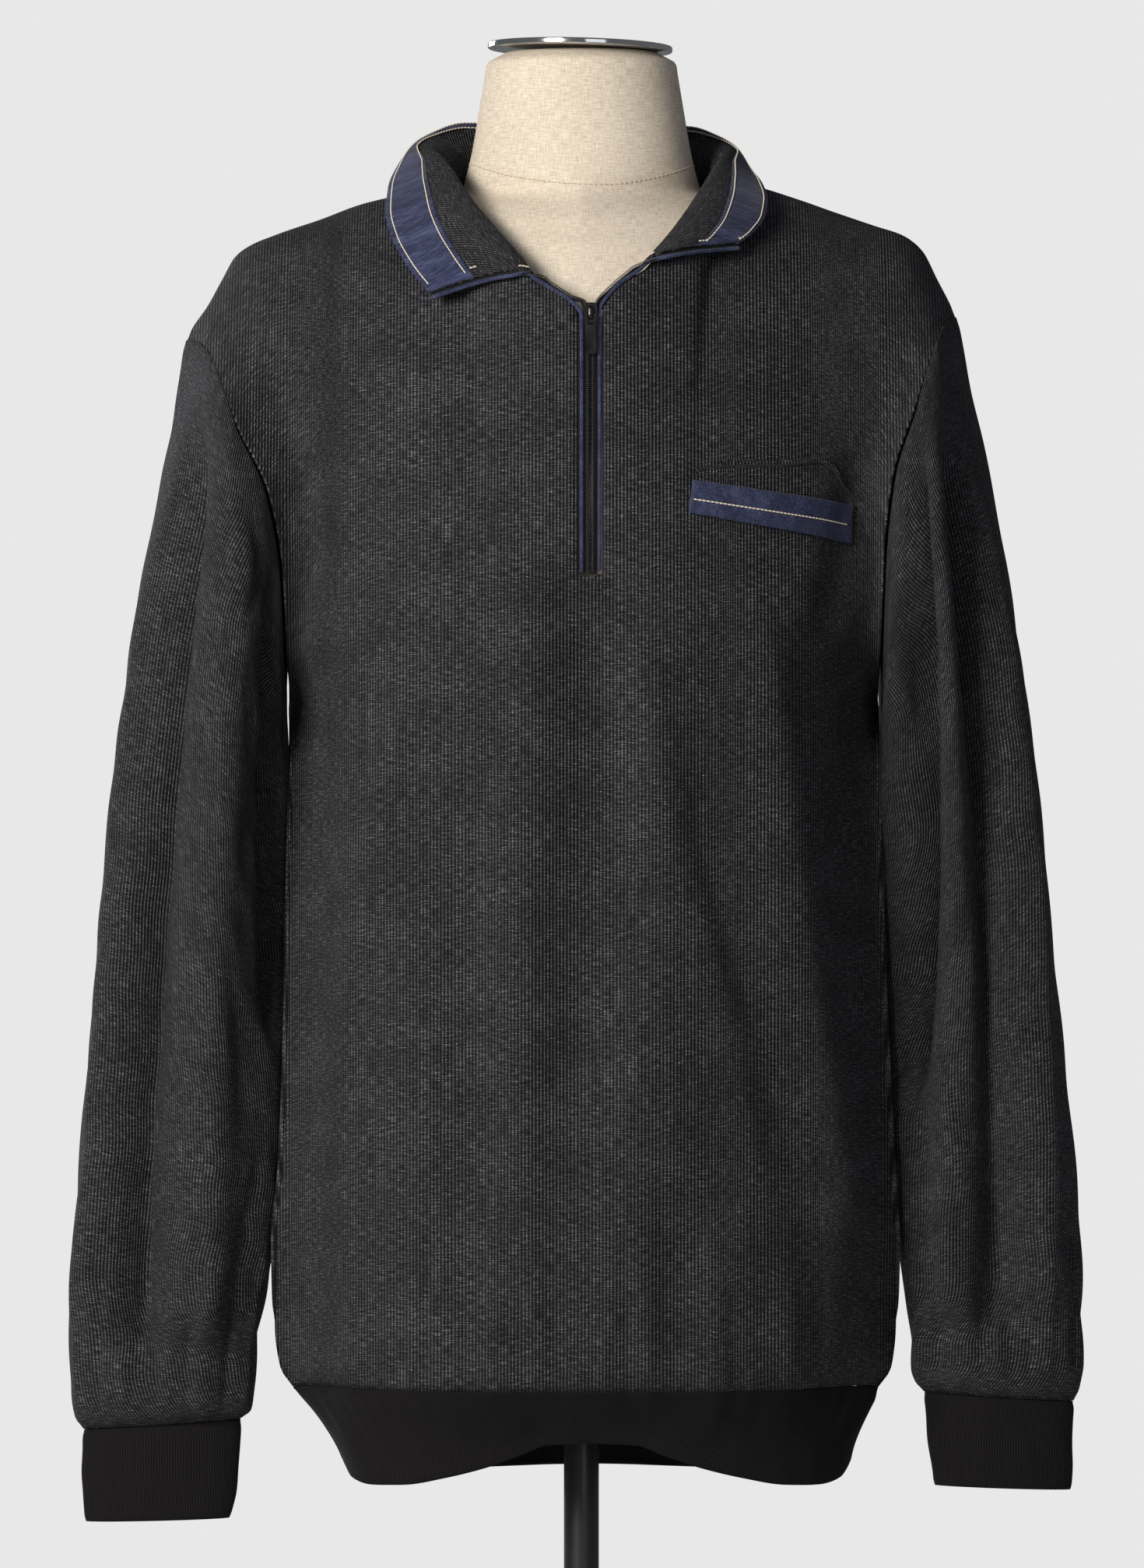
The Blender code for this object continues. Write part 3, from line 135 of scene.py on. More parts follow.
def window(at: Array, start: float, rise: float, end: float, fall: float) -> Array:
    """Rises from 0 to 1 over rise from start, and falls back to 0 over fall before end."""
    return eased((at - start) / rise) * eased((end - at) / fall)


def unit(vectors: Array) -> Array:
    """The same directions with length 1."""
    return vectors / np.maximum(np.linalg.norm(vectors, axis=-1, keepdims=True), 1e-12)


def grid_normals(points: Array, tube: bool = False) -> Array:
    """Unit normals of a grid: the cross product of its steps along columns and along rows."""
    if tube:
        around = np.roll(points, -1, axis=1) - np.roll(points, 1, axis=1)
    else:
        around = np.gradient(points, axis=1)
    return unit(np.cross(around, np.gradient(points, axis=0)))


def wander(u: Array, v: Array, seed: int, waves: int, shortest: float, longest: float) -> Array:
    """Uneven soft relief of about unit size: a seeded sum of plane waves, each sin(k . (u, v) + phase).

    Args:
        u: metres across the cloth.
        v: metres along the cloth.
        seed: which relief.
        waves: how many waves are summed.
        shortest: the shortest wavelength in metres.
        longest: the longest wavelength in metres.
    Returns:
        The relief at each place.
    """
    chance = np.random.default_rng(seed)
    total = np.zeros(np.broadcast(u, v).shape)
    for _ in range(waves):
        length = np.exp(chance.uniform(np.log(shortest), np.log(longest)))
        way, phase = chance.uniform(0, pi), chance.uniform(0, 2 * pi)
        wave = 2 * pi / length * (u * np.cos(way) + v * np.sin(way)) + phase
        total += np.sin(wave) * (length / longest) ** 0.5
    return total / np.sqrt(waves)


# ---- colours and nodes
def linear(hex_colour: str, alpha: float = 1.0) -> tuple[float, float, float, float]:
    """An sRGB hex colour as linear red, green, blue and alpha."""
    parts = [int(hex_colour[i:i + 2], 16) / 255 for i in (1, 3, 5)]
    light = [part / 12.92 if part <= 0.04045 else ((part + 0.055) / 1.055) ** 2.4 for part in parts]
    return (light[0], light[1], light[2], alpha)


def add_node(tree: bpy.types.NodeTree, kind: str, sockets: dict[Any, Any] | None = None,
             **settings: Any) -> Any:
    """Adds a node with its settings, values and links.

    Args:
        tree: the node tree that it goes into.
        kind: the node's Blender type.
        sockets: input name or number, to a value or to the output socket that feeds it.
        settings: the node's own properties.
    Returns:
        The node.
    """
    node = tree.nodes.new(kind)
    for name, value in settings.items():
        setattr(node, name, value)
    for name, value in (sockets or {}).items():
        if isinstance(value, bpy.types.NodeSocket):
            tree.links.new(value, node.inputs[name])
        else:
            node.inputs[name].default_value = value
    return node


class Recipe:
    """A material while it is put together, with short words for the sums that its pattern needs."""

    def __init__(self, name: str) -> None:
        """Starts an empty material with its shader and output."""
        self.material = bpy.data.materials.new(name)
        self.material.use_nodes = True
        self.tree = self.material.node_tree
        self.tree.nodes.clear()
        self.shader = self.node("ShaderNodeBsdfPrincipled")
        self.node("ShaderNodeOutputMaterial", {"Surface": self.shader.outputs["BSDF"]})

    def node(self, kind: str, sockets: dict[Any, Any] | None = None, **settings: Any) -> Any:
        """Adds a node to this material."""
        return add_node(self.tree, kind, sockets, **settings)

    def sum(self, operation: str, first: Any, second: Any = 0.0, third: Any = 0.0) -> Any:
        """The output of one piece of arithmetic."""
        return self.node("ShaderNodeMath", {0: first, 1: second, 2: third}, operation=operation).outputs[0]

    def cloth_place(self) -> tuple[Any, Any, Any]:
        """The cloth's own coordinates in metres: the vector, across the cloth, and along it."""
        vector = self.node("ShaderNodeUVMap", uv_map="cloth").outputs["UV"]
        parts = self.node("ShaderNodeSeparateXYZ", {0: vector})
        return vector, parts.outputs["X"], parts.outputs["Y"]

    def noise(self, vector: Any, scale: tuple[float, float, float], detail: float = 2.0,
              rough: float = 0.5) -> Any:
        """Soft noise with its own number of cells a metre along each axis."""
        placed = self.node("ShaderNodeMapping", {"Vector": vector, "Scale": scale})
        made = self.node("ShaderNodeTexNoise",
                         {"Vector": placed.outputs[0], "Scale": 1.0, "Detail": detail, "Roughness": rough})
        return made.outputs["Fac"]

    def ramp(self, share: Any, stops: tuple[tuple[float, str], ...]) -> Any:
        """A colour that goes through sRGB stops as share rises."""
        ramp = self.node("ShaderNodeValToRGB", {"Fac": share})
        elements = ramp.color_ramp.elements
        while len(elements) < len(stops):
            elements.new(0.5)
        for element, (place, colour) in zip(elements, stops):
            element.position = place
            element.color = linear(colour)
        return ramp.outputs["Color"]

    def mix(self, share: Any, first: Any, second: Any, blend: str = "MIX") -> Any:
        """One colour mixed into another."""
        mixed = self.node("ShaderNodeMix", {0: share, 6: first, 7: second}, data_type="RGBA",
                          blend_type=blend)
        return mixed.outputs[2]

    def bump(self, height: Any, strength: float, distance: float) -> Any:
        """A bumped normal from a height that runs from about 0 to 1."""
        made = self.node("ShaderNodeBump", {"Height": height, "Strength": strength, "Distance": distance})
        return made.outputs["Normal"]

    def finish(self, **sockets: Any) -> bpy.types.Material:
        """Sets the shader's sockets, named with _ for a space, and returns the material."""
        for name, value in sockets.items():
            socket = self.shader.inputs[name.replace("_", " ")]
            if isinstance(value, bpy.types.NodeSocket):
                self.tree.links.new(value, socket)
            else:
                socket.default_value = value
        return self.material


# ---- finishes
@dataclass(frozen=True)
class RibKnit:
    """Wool and cotton melange, knitted as a fine rib: matt, hairy, with pale fibres across the ribs."""

    name: str
    dark: str
    middle: str
    pale: str
    pitch: float
    relief: float
    flecks: float
    sheen: float

    def make(self) -> bpy.types.Material:
        """Ribs are a cosine across the cloth, stitches a chevron along it, and the melange stretched noise; the colour
        is darkened in the grooves between ribs and stitches, as painted shade.

        Returns:
            The material, on the cloth's coordinates.
        """
        recipe = Recipe(self.name)
        place, across, along = recipe.cloth_place()
        turn = recipe.sum("MULTIPLY", across, 2 * pi / self.pitch)
        rib = recipe.sum("MULTIPLY_ADD", recipe.sum("COSINE", turn), 0.5, 0.5)
        slant = recipe.sum("ABSOLUTE", recipe.sum("SINE", recipe.sum("MULTIPLY", turn, 0.5)))
        courses = recipe.sum("MULTIPLY", along, 2 * pi / (self.pitch * 0.62))
        climb = recipe.sum("MULTIPLY_ADD", slant, 2.0, courses)
        stitch = recipe.sum("MULTIPLY_ADD", recipe.sum("SINE", climb), 0.5, 0.5)
        streaks = recipe.noise(place, (150.0, 1500.0, 1.0), 3.0, 0.7)
        hairs = recipe.noise(place, (1500.0, 2400.0, 1.0), 2.0, 0.6)
        broad = recipe.noise(place, (22.0, 44.0, 1.0), 2.0, 0.5)
        fibres = recipe.sum("MULTIPLY_ADD", streaks, 0.56, recipe.sum("MULTIPLY", hairs, 0.40))
        flecked = recipe.sum("ADD", fibres, recipe.sum("MULTIPLY", broad, 0.08))
        spread = recipe.sum("MULTIPLY_ADD", recipe.sum("SUBTRACT", flecked, 0.52), self.flecks, 0.40)
        colour = recipe.ramp(spread, ((0.0, self.dark), (0.45, self.middle), (1.0, self.pale)))
        # Painted shade: the colour is multiplied down in the grooves between the ribs and between the stitches.
        face = recipe.sum("POWER", rib, 1.1)
        shade = recipe.sum("MULTIPLY_ADD", face, 0.94, recipe.sum("MULTIPLY_ADD", stitch, 0.24, 0.02))
        painted_groove_shade = recipe.node("ShaderNodeCombineColor", {0: shade, 1: shade, 2: shade}).outputs[0]
        relief = recipe.sum("MULTIPLY_ADD", stitch, 0.26, recipe.sum("MULTIPLY_ADD", hairs, 0.22, rib))
        return recipe.finish(Base_Color=recipe.mix(1.0, colour, painted_groove_shade, "MULTIPLY"), Roughness=0.92,
                             Sheen_Weight=self.sheen, Sheen_Roughness=0.45, Sheen_Tint=linear("#c9c7cc"),
                             Specular_IOR_Level=0.18, Normal=recipe.bump(relief, 0.8, self.relief))


@dataclass(frozen=True)
class Twill:
    """Woven cotton twill: fine slanted lines, matt, with painted highlight where threads stand up."""

    name: str
    dark: str
    middle: str
    pale: str
    pitch: float

    def make(self) -> bpy.types.Material:
        """Lines are a sine of across plus along; single threads, noise stretched both ways."""
        recipe = Recipe(self.name)
        place, across, along = recipe.cloth_place()
        slanted = recipe.sum("MULTIPLY", recipe.sum("ADD", across, along), 2 * pi / self.pitch)
        line = recipe.sum("MULTIPLY_ADD", recipe.sum("SINE", slanted), 0.5, 0.5)
        slant = recipe.node("ShaderNodeMapping", {"Vector": place, "Rotation": (0.0, 0.0, radians(45))})
        threads = recipe.noise(slant.outputs[0], (500.0, 1900.0, 1.0), 3.0, 0.65)
        worn = recipe.noise(place, (95.0, 55.0, 1.0), 2.0, 0.6)
        # Painted highlight: the colour is lighter on the slanted lines and threads that stand up, mixed with the
        # threads' own uneven tone.
        weave_and_painted_highlight = recipe.sum("MULTIPLY_ADD", line, 0.22, recipe.sum("MULTIPLY", threads, 0.72))
        share = recipe.sum("ADD", weave_and_painted_highlight, recipe.sum("MULTIPLY", worn, 0.42))
        colour = recipe.ramp(share, ((0.42, self.dark), (0.70, self.middle), (0.98, self.pale)))
        relief = recipe.sum("MULTIPLY_ADD", threads, 0.6, line)
        return recipe.finish(Base_Color=colour, Roughness=0.85, Sheen_Weight=0.08, Sheen_Roughness=0.5,
                             Specular_IOR_Level=0.25, Normal=recipe.bump(relief, 0.6, 0.0003))


@dataclass(frozen=True)
class PlainWeave:
    """Natural linen, plain woven and stretched over a hard form: pale uneven threads with slubs."""

    name: str
    dark: str
    pale: str
    pitch: float

    def make(self) -> bpy.types.Material:
        """Over and under is the product of two sines; slubs are noise stretched along each thread's way."""
        recipe = Recipe(self.name)
        place, across, along = recipe.cloth_place()
        weft = recipe.sum("SINE", recipe.sum("MULTIPLY", across, 2 * pi / self.pitch))
        warp = recipe.sum("SINE", recipe.sum("MULTIPLY", along, 2 * pi / self.pitch))
        weave = recipe.sum("MULTIPLY_ADD", recipe.sum("MULTIPLY", weft, warp), 0.5, 0.5)
        slubs = recipe.noise(place, (160.0, 1500.0, 1.0), 3.0, 0.6)
        lengths = recipe.noise(place, (1500.0, 160.0, 1.0), 3.0, 0.6)
        broad = recipe.noise(place, (14.0, 14.0, 1.0))
        threads = recipe.sum("MULTIPLY_ADD", slubs, 0.42, recipe.sum("MULTIPLY", lengths, 0.34))
        ground = recipe.sum("MULTIPLY_ADD", weave, 0.20, recipe.sum("MULTIPLY", broad, 0.10))
        share = recipe.sum("ADD", threads, ground)
        colour = recipe.ramp(share, ((0.30, self.dark), (0.72, self.pale)))
        relief = recipe.sum("MULTIPLY_ADD", weave, 0.6, recipe.sum("ADD", slubs, lengths))
        return recipe.finish(Base_Color=colour, Roughness=0.88, Specular_IOR_Level=0.25,
                             Normal=recipe.bump(relief, 0.35, 0.0003))


@dataclass(frozen=True)
class Thread:
    """Sewing thread: slightly glossy, twisted from plies that shade each other."""

    name: str
    colour: str
    ply_gap_shade: str

    def make(self) -> bpy.types.Material:
        """The twist is a fine slanted wave in object space, which mixes the thread's colour with painted shade between
        the plies.
        """
        recipe = Recipe(self.name)
        place = recipe.node("ShaderNodeTexCoord").outputs["Object"]
        twist = recipe.node("ShaderNodeTexWave", {"Vector": place, "Scale": 900.0, "Distortion": 1.0},
                            bands_direction="DIAGONAL").outputs["Fac"]
        colour = recipe.mix(twist, linear(self.colour), linear(self.ply_gap_shade))
        return recipe.finish(Base_Color=colour, Roughness=0.6, Sheen_Weight=0.1,
                             Normal=recipe.bump(twist, 0.4, 0.0001))


@dataclass(frozen=True)
class Solid:
    """A hard or plain finish: a plated, painted or moulded surface with slight wear and unevenness."""

    name: str
    colour: str
    worn: str
    roughness: float
    metallic: float
    grain: float
    coat: float = 0.0

    def make(self) -> bpy.types.Material:
        """Broad noise moves the colour and the roughness a little; fine noise is the grain of the surface."""
        recipe = Recipe(self.name)
        place = recipe.node("ShaderNodeTexCoord").outputs["Object"]
        broad = recipe.noise(place, (45.0, 45.0, 45.0), 4.0, 0.6)
        fine = recipe.noise(place, (self.grain, self.grain, self.grain), 2.0, 0.5)
        colour = recipe.ramp(broad, ((0.25, self.colour), (0.85, self.worn)))
        rough = recipe.sum("MULTIPLY_ADD", broad, 0.14, self.roughness - 0.07)
        return recipe.finish(Base_Color=colour, Roughness=rough, Metallic=self.metallic,
                             Coat_Weight=self.coat, Normal=recipe.bump(fine, 0.08, 0.0001))


class Finish(Enum):
    """Every finish on the sweatshirt and its form."""

    # Charcoal melange: dark wool with pale hairs, so it looks dusty grey where light grazes the ribs.
    KNIT = RibKnit("charcoal_melange_rib_knit", "#111113", "#37373b", "#a5a5ac", 0.0020, 0.0011, 2.9, 0.02)
    # Black rib of cotton and elastane: the same structure, finer and almost without pale hairs.
    RIB = RibKnit("black_fine_rib_band", "#0e0d0e", "#181617", "#242225", 0.0015, 0.00025, 0.9, 0.01)
    # Navy cotton twill tape: a dusty blue black.
    TWILL = Twill("navy_cotton_twill", "#0f1222", "#232947", "#636b8c", 0.0013)
    # Polyester and cotton thread: a soft gloss on each ply, and a second colour between the plies as painted shade,
    # darker for cream and black and a touch lighter for tan.
    CREAM_THREAD = Thread("cream_polyester_thread", "#efe4cf", "#b9ab94")
    # Black thread: the dark edge under the pocket lip, also the painted shadow of the opening's gap.
    BLACK_THREAD = Thread("black_polyester_thread", "#161517", "#08080a")
    TAN_THREAD = Thread("tan_cotton_thread", "#b3a288", "#b9ab94")
    # Nylon coil and its woven tape: soft black gloss on the teeth.
    NYLON = Solid("black_nylon_coil", "#0b0b0d", "#1c1c20", 0.42, 0.0, 900.0)
    ZIP_TAPE = Twill("black_polyester_zip_tape", "#08080a", "#101015", "#1d1d22", 0.0009)
    # Gunmetal plating over zinc: dark, warm grey, bright on worn edges.
    GUNMETAL = Solid("gunmetal_plated_zinc", "#2c2b2c", "#55524f", 0.30, 1.0, 1400.0)
    # Undyed linen: pale and dry, with darker slubs.
    LINEN = PlainWeave("natural_linen", "#94856e", "#ece2d3", 0.0010)
    # Chrome plating on steel: a mirror with faint polishing marks.
    CHROME = Solid("polished_chrome", "#c9c9c8", "#dededc", 0.10, 1.0, 300.0)
    # Powder paint on steel: black with a soft satin gloss.
    BLACK_PAINT = Solid("satin_black_painted_steel", "#0d1012", "#15191c", 0.38, 0.0, 700.0, 0.15)

    def material(self) -> bpy.types.Material:
        """The finish's material, made once."""
        return bpy.data.materials.get(self.value.name) or self.value.make()


# ---- meshes
def cloth_lengths(points: Array, tube: bool = False, middle: int | None = None) -> Array:
    """The cloth's own coordinates in metres for a grid: arc length along each row and down the middle column.

    Args:
        points: rows by columns of points.
        tube: whether the last column meets the first, which adds a column to the result.
        middle: the column that has length 0; the middle one if left out.
    Returns:
        Rows by columns of (across, along).
    """
    ring = np.concatenate([points, points[:, :1]], axis=1) if tube else points
    steps = np.linalg.norm(np.diff(ring, axis=1), axis=-1)
    across = np.concatenate([np.zeros((len(ring), 1)), np.cumsum(steps, axis=1)], axis=1)
    column = ring.shape[1] // 2 if middle is None else middle
    across = across - across[:, column:column + 1]
    drops = np.linalg.norm(np.diff(ring[:, column], axis=0), axis=-1)
    along = np.concatenate([[0.0], np.cumsum(drops)])
    return np.stack([across, np.broadcast_to(along[:, None], across.shape)], axis=-1)


def grid_faces(lengths: Array, columns: int, keep: Array) -> tuple[Array, Array]:
    """The quads of a grid's kept cells, as point numbers, and their corners' cloth coordinates."""
    row, cell = np.nonzero(keep)
    after = (cell + 1) % columns
    faces = np.stack([row * columns + cell, row * columns + after, (row + 1) * columns + after,
                      (row + 1) * columns + cell], axis=-1)
    uvs = np.stack([lengths[row, cell], lengths[row, cell + 1], lengths[row + 1, cell + 1],
                    lengths[row + 1, cell]], axis=1)
    return faces, uvs


def grid_mesh(name: str, points: Array, faces: Array, uvs: Array) -> bpy.types.Mesh:
    """A smooth mesh from a grid's points and quads, without the points that no quad uses.

    Args:
        name: the piece's name.
        points: the grid's points.
        faces: count by 4 point numbers.
        uvs: faces by corners by 2, in metres of cloth.
    Returns:
        The mesh.
    """
    used, numbers = np.unique(faces, return_inverse=True)
    mesh = bpy.data.meshes.new(name)
    mesh.vertices.add(len(used))
    mesh.vertices.foreach_set("co", points.reshape(-1, 3)[used].astype(np.float32).ravel())
    mesh.loops.add(faces.size)
    mesh.loops.foreach_set("vertex_index", numbers.astype(np.int32).ravel())
    mesh.polygons.add(len(faces))
    mesh.polygons.foreach_set("loop_start", np.arange(0, faces.size, 4, dtype=np.int32))
    mesh.polygons.foreach_set("use_smooth", np.ones(len(faces), bool))
    mesh.uv_layers.new(name="cloth").uv.foreach_set("vector", uvs.astype(np.float32).ravel())
    mesh.update(calc_edges=True)
    return mesh


def capped_faces(rings: int, sides: int) -> Array:
    """Quads between rings that run counter-clockwise about the way they follow, and a fan at each end.

    The two end points are numbered after the rings' own. A fan's triangle repeats its first point.
    """
    column, after = np.arange(sides), (np.arange(sides) + 1) % sides
    row = np.arange(rings - 1)[:, None] * sides
    quads = np.stack([row + column, row + after, row + sides + after, row + sides + column], axis=-1)
    last = (rings - 1) * sides
    low, high = np.full(sides, rings * sides), np.full(sides, rings * sides + 1)
    foot = np.stack([low, after, column, low], axis=-1)
    head = np.stack([high, last + column, last + after, high], axis=-1)
    return np.concatenate([quads.reshape(-1, 4), foot, head])


def capped_mesh(name: str, points: Array, faces: Array) -> bpy.types.Mesh:
    """A smooth mesh from points and the faces that capped_faces gives."""
    mesh = bpy.data.meshes.new(name)
    mesh.from_pydata(points.tolist(), [], [face[:3] if face[0] == face[3] else face for face in faces.tolist()])
    mesh.update()
    mesh.shade_smooth()
    return mesh


def add_piece(name: str, mesh: bpy.types.Mesh, finish: Finish, thickness: float = 0.0) -> bpy.types.Object:
    """Puts a mesh in the scene as a finished piece of the dressed form, and reports it.

    Args:
        name: the piece's name.
        mesh: its mesh, in place.
        finish: its finish.
        thickness: the wall that is grown inwards from a sheet; 0 for a closed mesh.
    Returns:
        The piece.
    """
    thing = bpy.data.objects.new(name, mesh)
    bpy.context.scene.collection.objects.link(thing)
    if thickness:
        shell = thing.modifiers.new("wall", "SOLIDIFY")
        shell.thickness = thickness
        shell.offset = -1.0
        shell.use_quality_normals = True
    mesh.materials.append(finish.material())
    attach(thing, BODY)
    LOG.info("%s: %d faces", name, len(mesh.polygons))
    return thing


@dataclass
class Wall:
    """How a grid becomes a piece of cloth: its thickness, its finish, and which cells are left open."""

    thickness: float
    finish: Finish
    tube: bool = False
    keep: Array | None = None
    middle: int | None = None
    lengths: Array | None = None

    def build(self, name: str, outer: Array, outward: Array) -> bpy.types.Object:
        """A thin closed shell under a grid of outer points.

        Args:
            name: the piece's name.
            outer: rows by columns of outer points.
            outward: one direction, or one for each point, that the outer side faces.
        Returns:
            The piece, with its wall grown inwards.
        """
        rows, columns = outer.shape[:2]
        lengths = cloth_lengths(outer, self.tube, self.middle) if self.lengths is None else self.lengths
        every = np.ones((rows - 1, columns if self.tube else columns - 1), bool)
        faces, uvs = grid_faces(lengths, columns, every if self.keep is None else self.keep)
        if np.sum(grid_normals(outer, self.tube) * outward) < 0:
            faces, uvs = faces[:, ::-1], uvs[:, ::-1]
        return add_piece(name, grid_mesh(name, outer, faces, uvs), self.finish, self.thickness)


def turned(name: str, profile: Array, centre: tuple[float, float, float], lean: float, finish: Finish,
           around: int = 96) -> bpy.types.Object:
    """A closed round solid from a profile of (radius, height) that starts and ends on the axis.

    Args:
        name: the piece's name.
        profile: count by 2, from the lowest point to the highest.
        centre: where height 0 of the axis is.
        lean: how far the axis leans towards +x, in radians.
        finish: its finish.
        around: how many columns.
    Returns:
        The piece.
    """
    angle = 2 * pi * np.arange(around) / around
    ring = np.stack([np.cos(angle), np.sin(angle), np.zeros(around)], axis=-1)
    body = profile[1:-1]
    points = ring[None] * body[:, :1, None] + np.array([0.0, 0.0, 1.0]) * body[:, 1:, None]
    ends = np.array([[0.0, 0.0, profile[0, 1]], [0.0, 0.0, profile[-1, 1]]])
    turn = np.array([[np.cos(lean), 0, np.sin(lean)], [0, 1, 0], [-np.sin(lean), 0, np.cos(lean)]])
    placed = np.concatenate([points.reshape(-1, 3), ends]) @ turn.T + np.array(centre)
    mesh = capped_mesh(name, placed, capped_faces(len(body), around))
    mesh.set_sharp_from_angle(angle=radians(35))
    return add_piece(name, mesh, finish)


def swept(path: Array, up: Array, half_wide: Array | float, half_thick: Array | float, sides: int,
          square: float = 1.0) -> tuple[Array, Array, Array]:
    """Points, faces and cloth coordinates of a bar of oval section along a path, closed at both ends.

    The section is (sign(cos) |cos|^square, sign(sin) |sin|^square), 1 for an oval and less for a squarer bar.
    Its rings run clockwise about the path, so the faces are taken the other way round.
    """
    along = unit(np.gradient(path, axis=0))
    upward = unit(up - along * np.sum(up * along, axis=-1, keepdims=True))
    sideways = np.cross(along, upward)
    angle = (np.arange(sides) + 0.5) * 2 * pi / sides
    wide = np.sign(np.cos(angle)) * np.abs(np.cos(angle)) ** square
    thick = np.sign(np.sin(angle)) * np.abs(np.sin(angle)) ** square
    half_wide = np.broadcast_to(half_wide, len(path))[:, None, None]
    half_thick = np.broadcast_to(half_thick, len(path))[:, None, None]
    rings = path[:, None] + half_wide * wide[None, :, None] * sideways[:, None]
    rings = rings + half_thick * thick[None, :, None] * upward[:, None]
    points = np.concatenate([rings.reshape(-1, 3), path[:1], path[-1:]])
    run = np.concatenate([[0.0], np.cumsum(np.linalg.norm(np.diff(path, axis=0), axis=-1))])
    girth = 2 * pi * float(np.mean(half_wide)) / sides
    place = np.stack([np.repeat(run, sides), np.tile(np.arange(sides) * girth, len(path))], axis=-1)
    place = np.concatenate([place, place[:1], place[-1:]])
    return points, capped_faces(len(path), sides)[:, ::-1], place


def join_bars(name: str, bars: list[tuple[Array, Array, Array]], finish: Finish) -> bpy.types.Object:
    """One piece from many bars made by swept.

    Args:
        name: the piece's name.
        bars: points, faces and coordinates of each.
        finish: their finish.
    Returns:
        The piece.
    """
    counts = np.cumsum([0] + [len(points) for points, _, _ in bars[:-1]])
    points = np.concatenate([bar[0] for bar in bars])
    mesh = capped_mesh(name, points, np.concatenate([bar[1] + count for bar, count in zip(bars, counts)]))
    place = np.concatenate([bar[2] for bar in bars])
    corners = np.empty(len(mesh.loops), np.int32)
    mesh.loops.foreach_get("vertex_index", corners)
    mesh.uv_layers.new(name="cloth").uv.foreach_set("vector", place[corners].astype(np.float32).ravel())
    return add_piece(name, mesh, finish)


def resample(path: Array, step: float, carried: Array) -> tuple[Array, Array]:
    """The same path at even steps, with the directions that it carries.

    Args:
        path: count by 3.
        step: metres between the new points.
        carried: count by 3 directions at the old points.
    Returns:
        The new points and their directions.
    """
    run = np.concatenate([[0.0], np.cumsum(np.linalg.norm(np.diff(path, axis=0), axis=-1))])
    at = np.arange(0.0, run[-1], step)
    points = np.stack([np.interp(at, run, path[:, axis]) for axis in range(3)], axis=-1)
    ways = np.stack([np.interp(at, run, carried[:, axis]) for axis in range(3)], axis=-1)
    return points, unit(ways)


def stitches(path: Array, outward: Array, pitch: float, length: float,
             radius: float) -> list[tuple[Array, Array, Array]]:
    """A row of stitches on a path: short bars that dive into the cloth at both ends.

    Args:
        path: the line on the cloth's face.
        outward: the cloth's outward directions along it.
        pitch: metres from stitch to stitch.
        length: metres of thread that show in each.
        radius: the thread's.
    Returns:
        The bars.
    """
    points, ways = resample(path, pitch, outward)
    bars = []
    for index in range(len(points) - 1):
        along = unit(points[index + 1] - points[index])
        run = np.linspace(-0.5, 0.5, 5)[:, None] * length
        dive = (1 - (np.linspace(-1, 1, 5)[:, None]) ** 4) * radius * 1.5 - radius * 0.9
        middle = (points[index] + points[index + 1]) / 2
        line = middle + along * run + ways[index] * dive
        bars.append(swept(line, np.tile(ways[index], (5, 1)), radius, radius, 6))
    return bars


# ---- sizes of the garment
SEAM_GAP = 0.0003
KNIT_THICKNESS = 0.0016
RIB_THICKNESS = 0.0018
COLLAR_THICKNESS = 0.0020
TAPE_THICKNESS = 0.0010
ZIP_X = 0.005
SIDE_SEAM_Y = 0.005
HEM_HEIGHT = 0.6060
ARMPIT_HEIGHT = 0.994
SLIT_HALF_WIDTH = 0.0064
SLIT_END_TURN = 0.16

BODY_ROWS = Table("height right left front back", (
    (0.606, -0.1640, 0.1690, -0.1150, 0.1060),
    (0.618, -0.1705, 0.1755, -0.1195, 0.1100),
    (0.640, -0.1735, 0.1780, -0.1205, 0.1110),
    (0.688, -0.1738, 0.1785, -0.1200, 0.1100),
    (0.730, -0.1704, 0.1763, -0.1200, 0.1080),
    (0.786, -0.1681, 0.1735, -0.1200, 0.1060),
    (0.828, -0.1669, 0.1716, -0.1205, 0.1050),
    (0.870, -0.1662, 0.1700, -0.1215, 0.1050),
    (0.926, -0.1652, 0.1682, -0.1235, 0.1070),
    (0.960, -0.1643, 0.1678, -0.1250, 0.1090),
    (0.994, -0.1660, 0.1685, -0.1265, 0.1110),
))
ARMHOLE_ROWS = Table("turn right left front back", (
    (0.00, -0.1660, 0.1685, 0.005, 0.005),
    (0.06, -0.1660, 0.1685, -0.040, 0.044),
    (0.17, -0.1670, 0.1690, -0.066, 0.066),
    (0.33, -0.1740, 0.1730, -0.074, 0.075),
    (0.50, -0.1920, 0.1860, -0.068, 0.071),
    (0.67, -0.2035, 0.1965, -0.052, 0.058),
    (0.84, -0.2125, 0.2040, -0.027, 0.035),
    (1.00, -0.2240, 0.2125, 0.005, 0.005),
))
SHOULDER = (
    (0.355, 0.005, 1.2862, 1.2885),
    (0.455, 0.005, 1.2810, 1.2850),
    (0.575, 0.005, 1.2745, 1.2775),
    (0.670, 0.005, 1.2665, 1.2705),
    (0.780, 0.005, 1.2580, 1.2630),
    (0.850, 0.005, 1.2515, 1.2585),
    (0.880, 0.005, 1.2460, 1.2550),
    (0.910, 0.005, 1.2340, 1.2490),
    (0.950, 0.005, 1.2175, 1.2330),
    (0.985, 0.005, 1.2060, 1.2190),
    (1.000, 0.005, 1.1990, 1.2120),
)
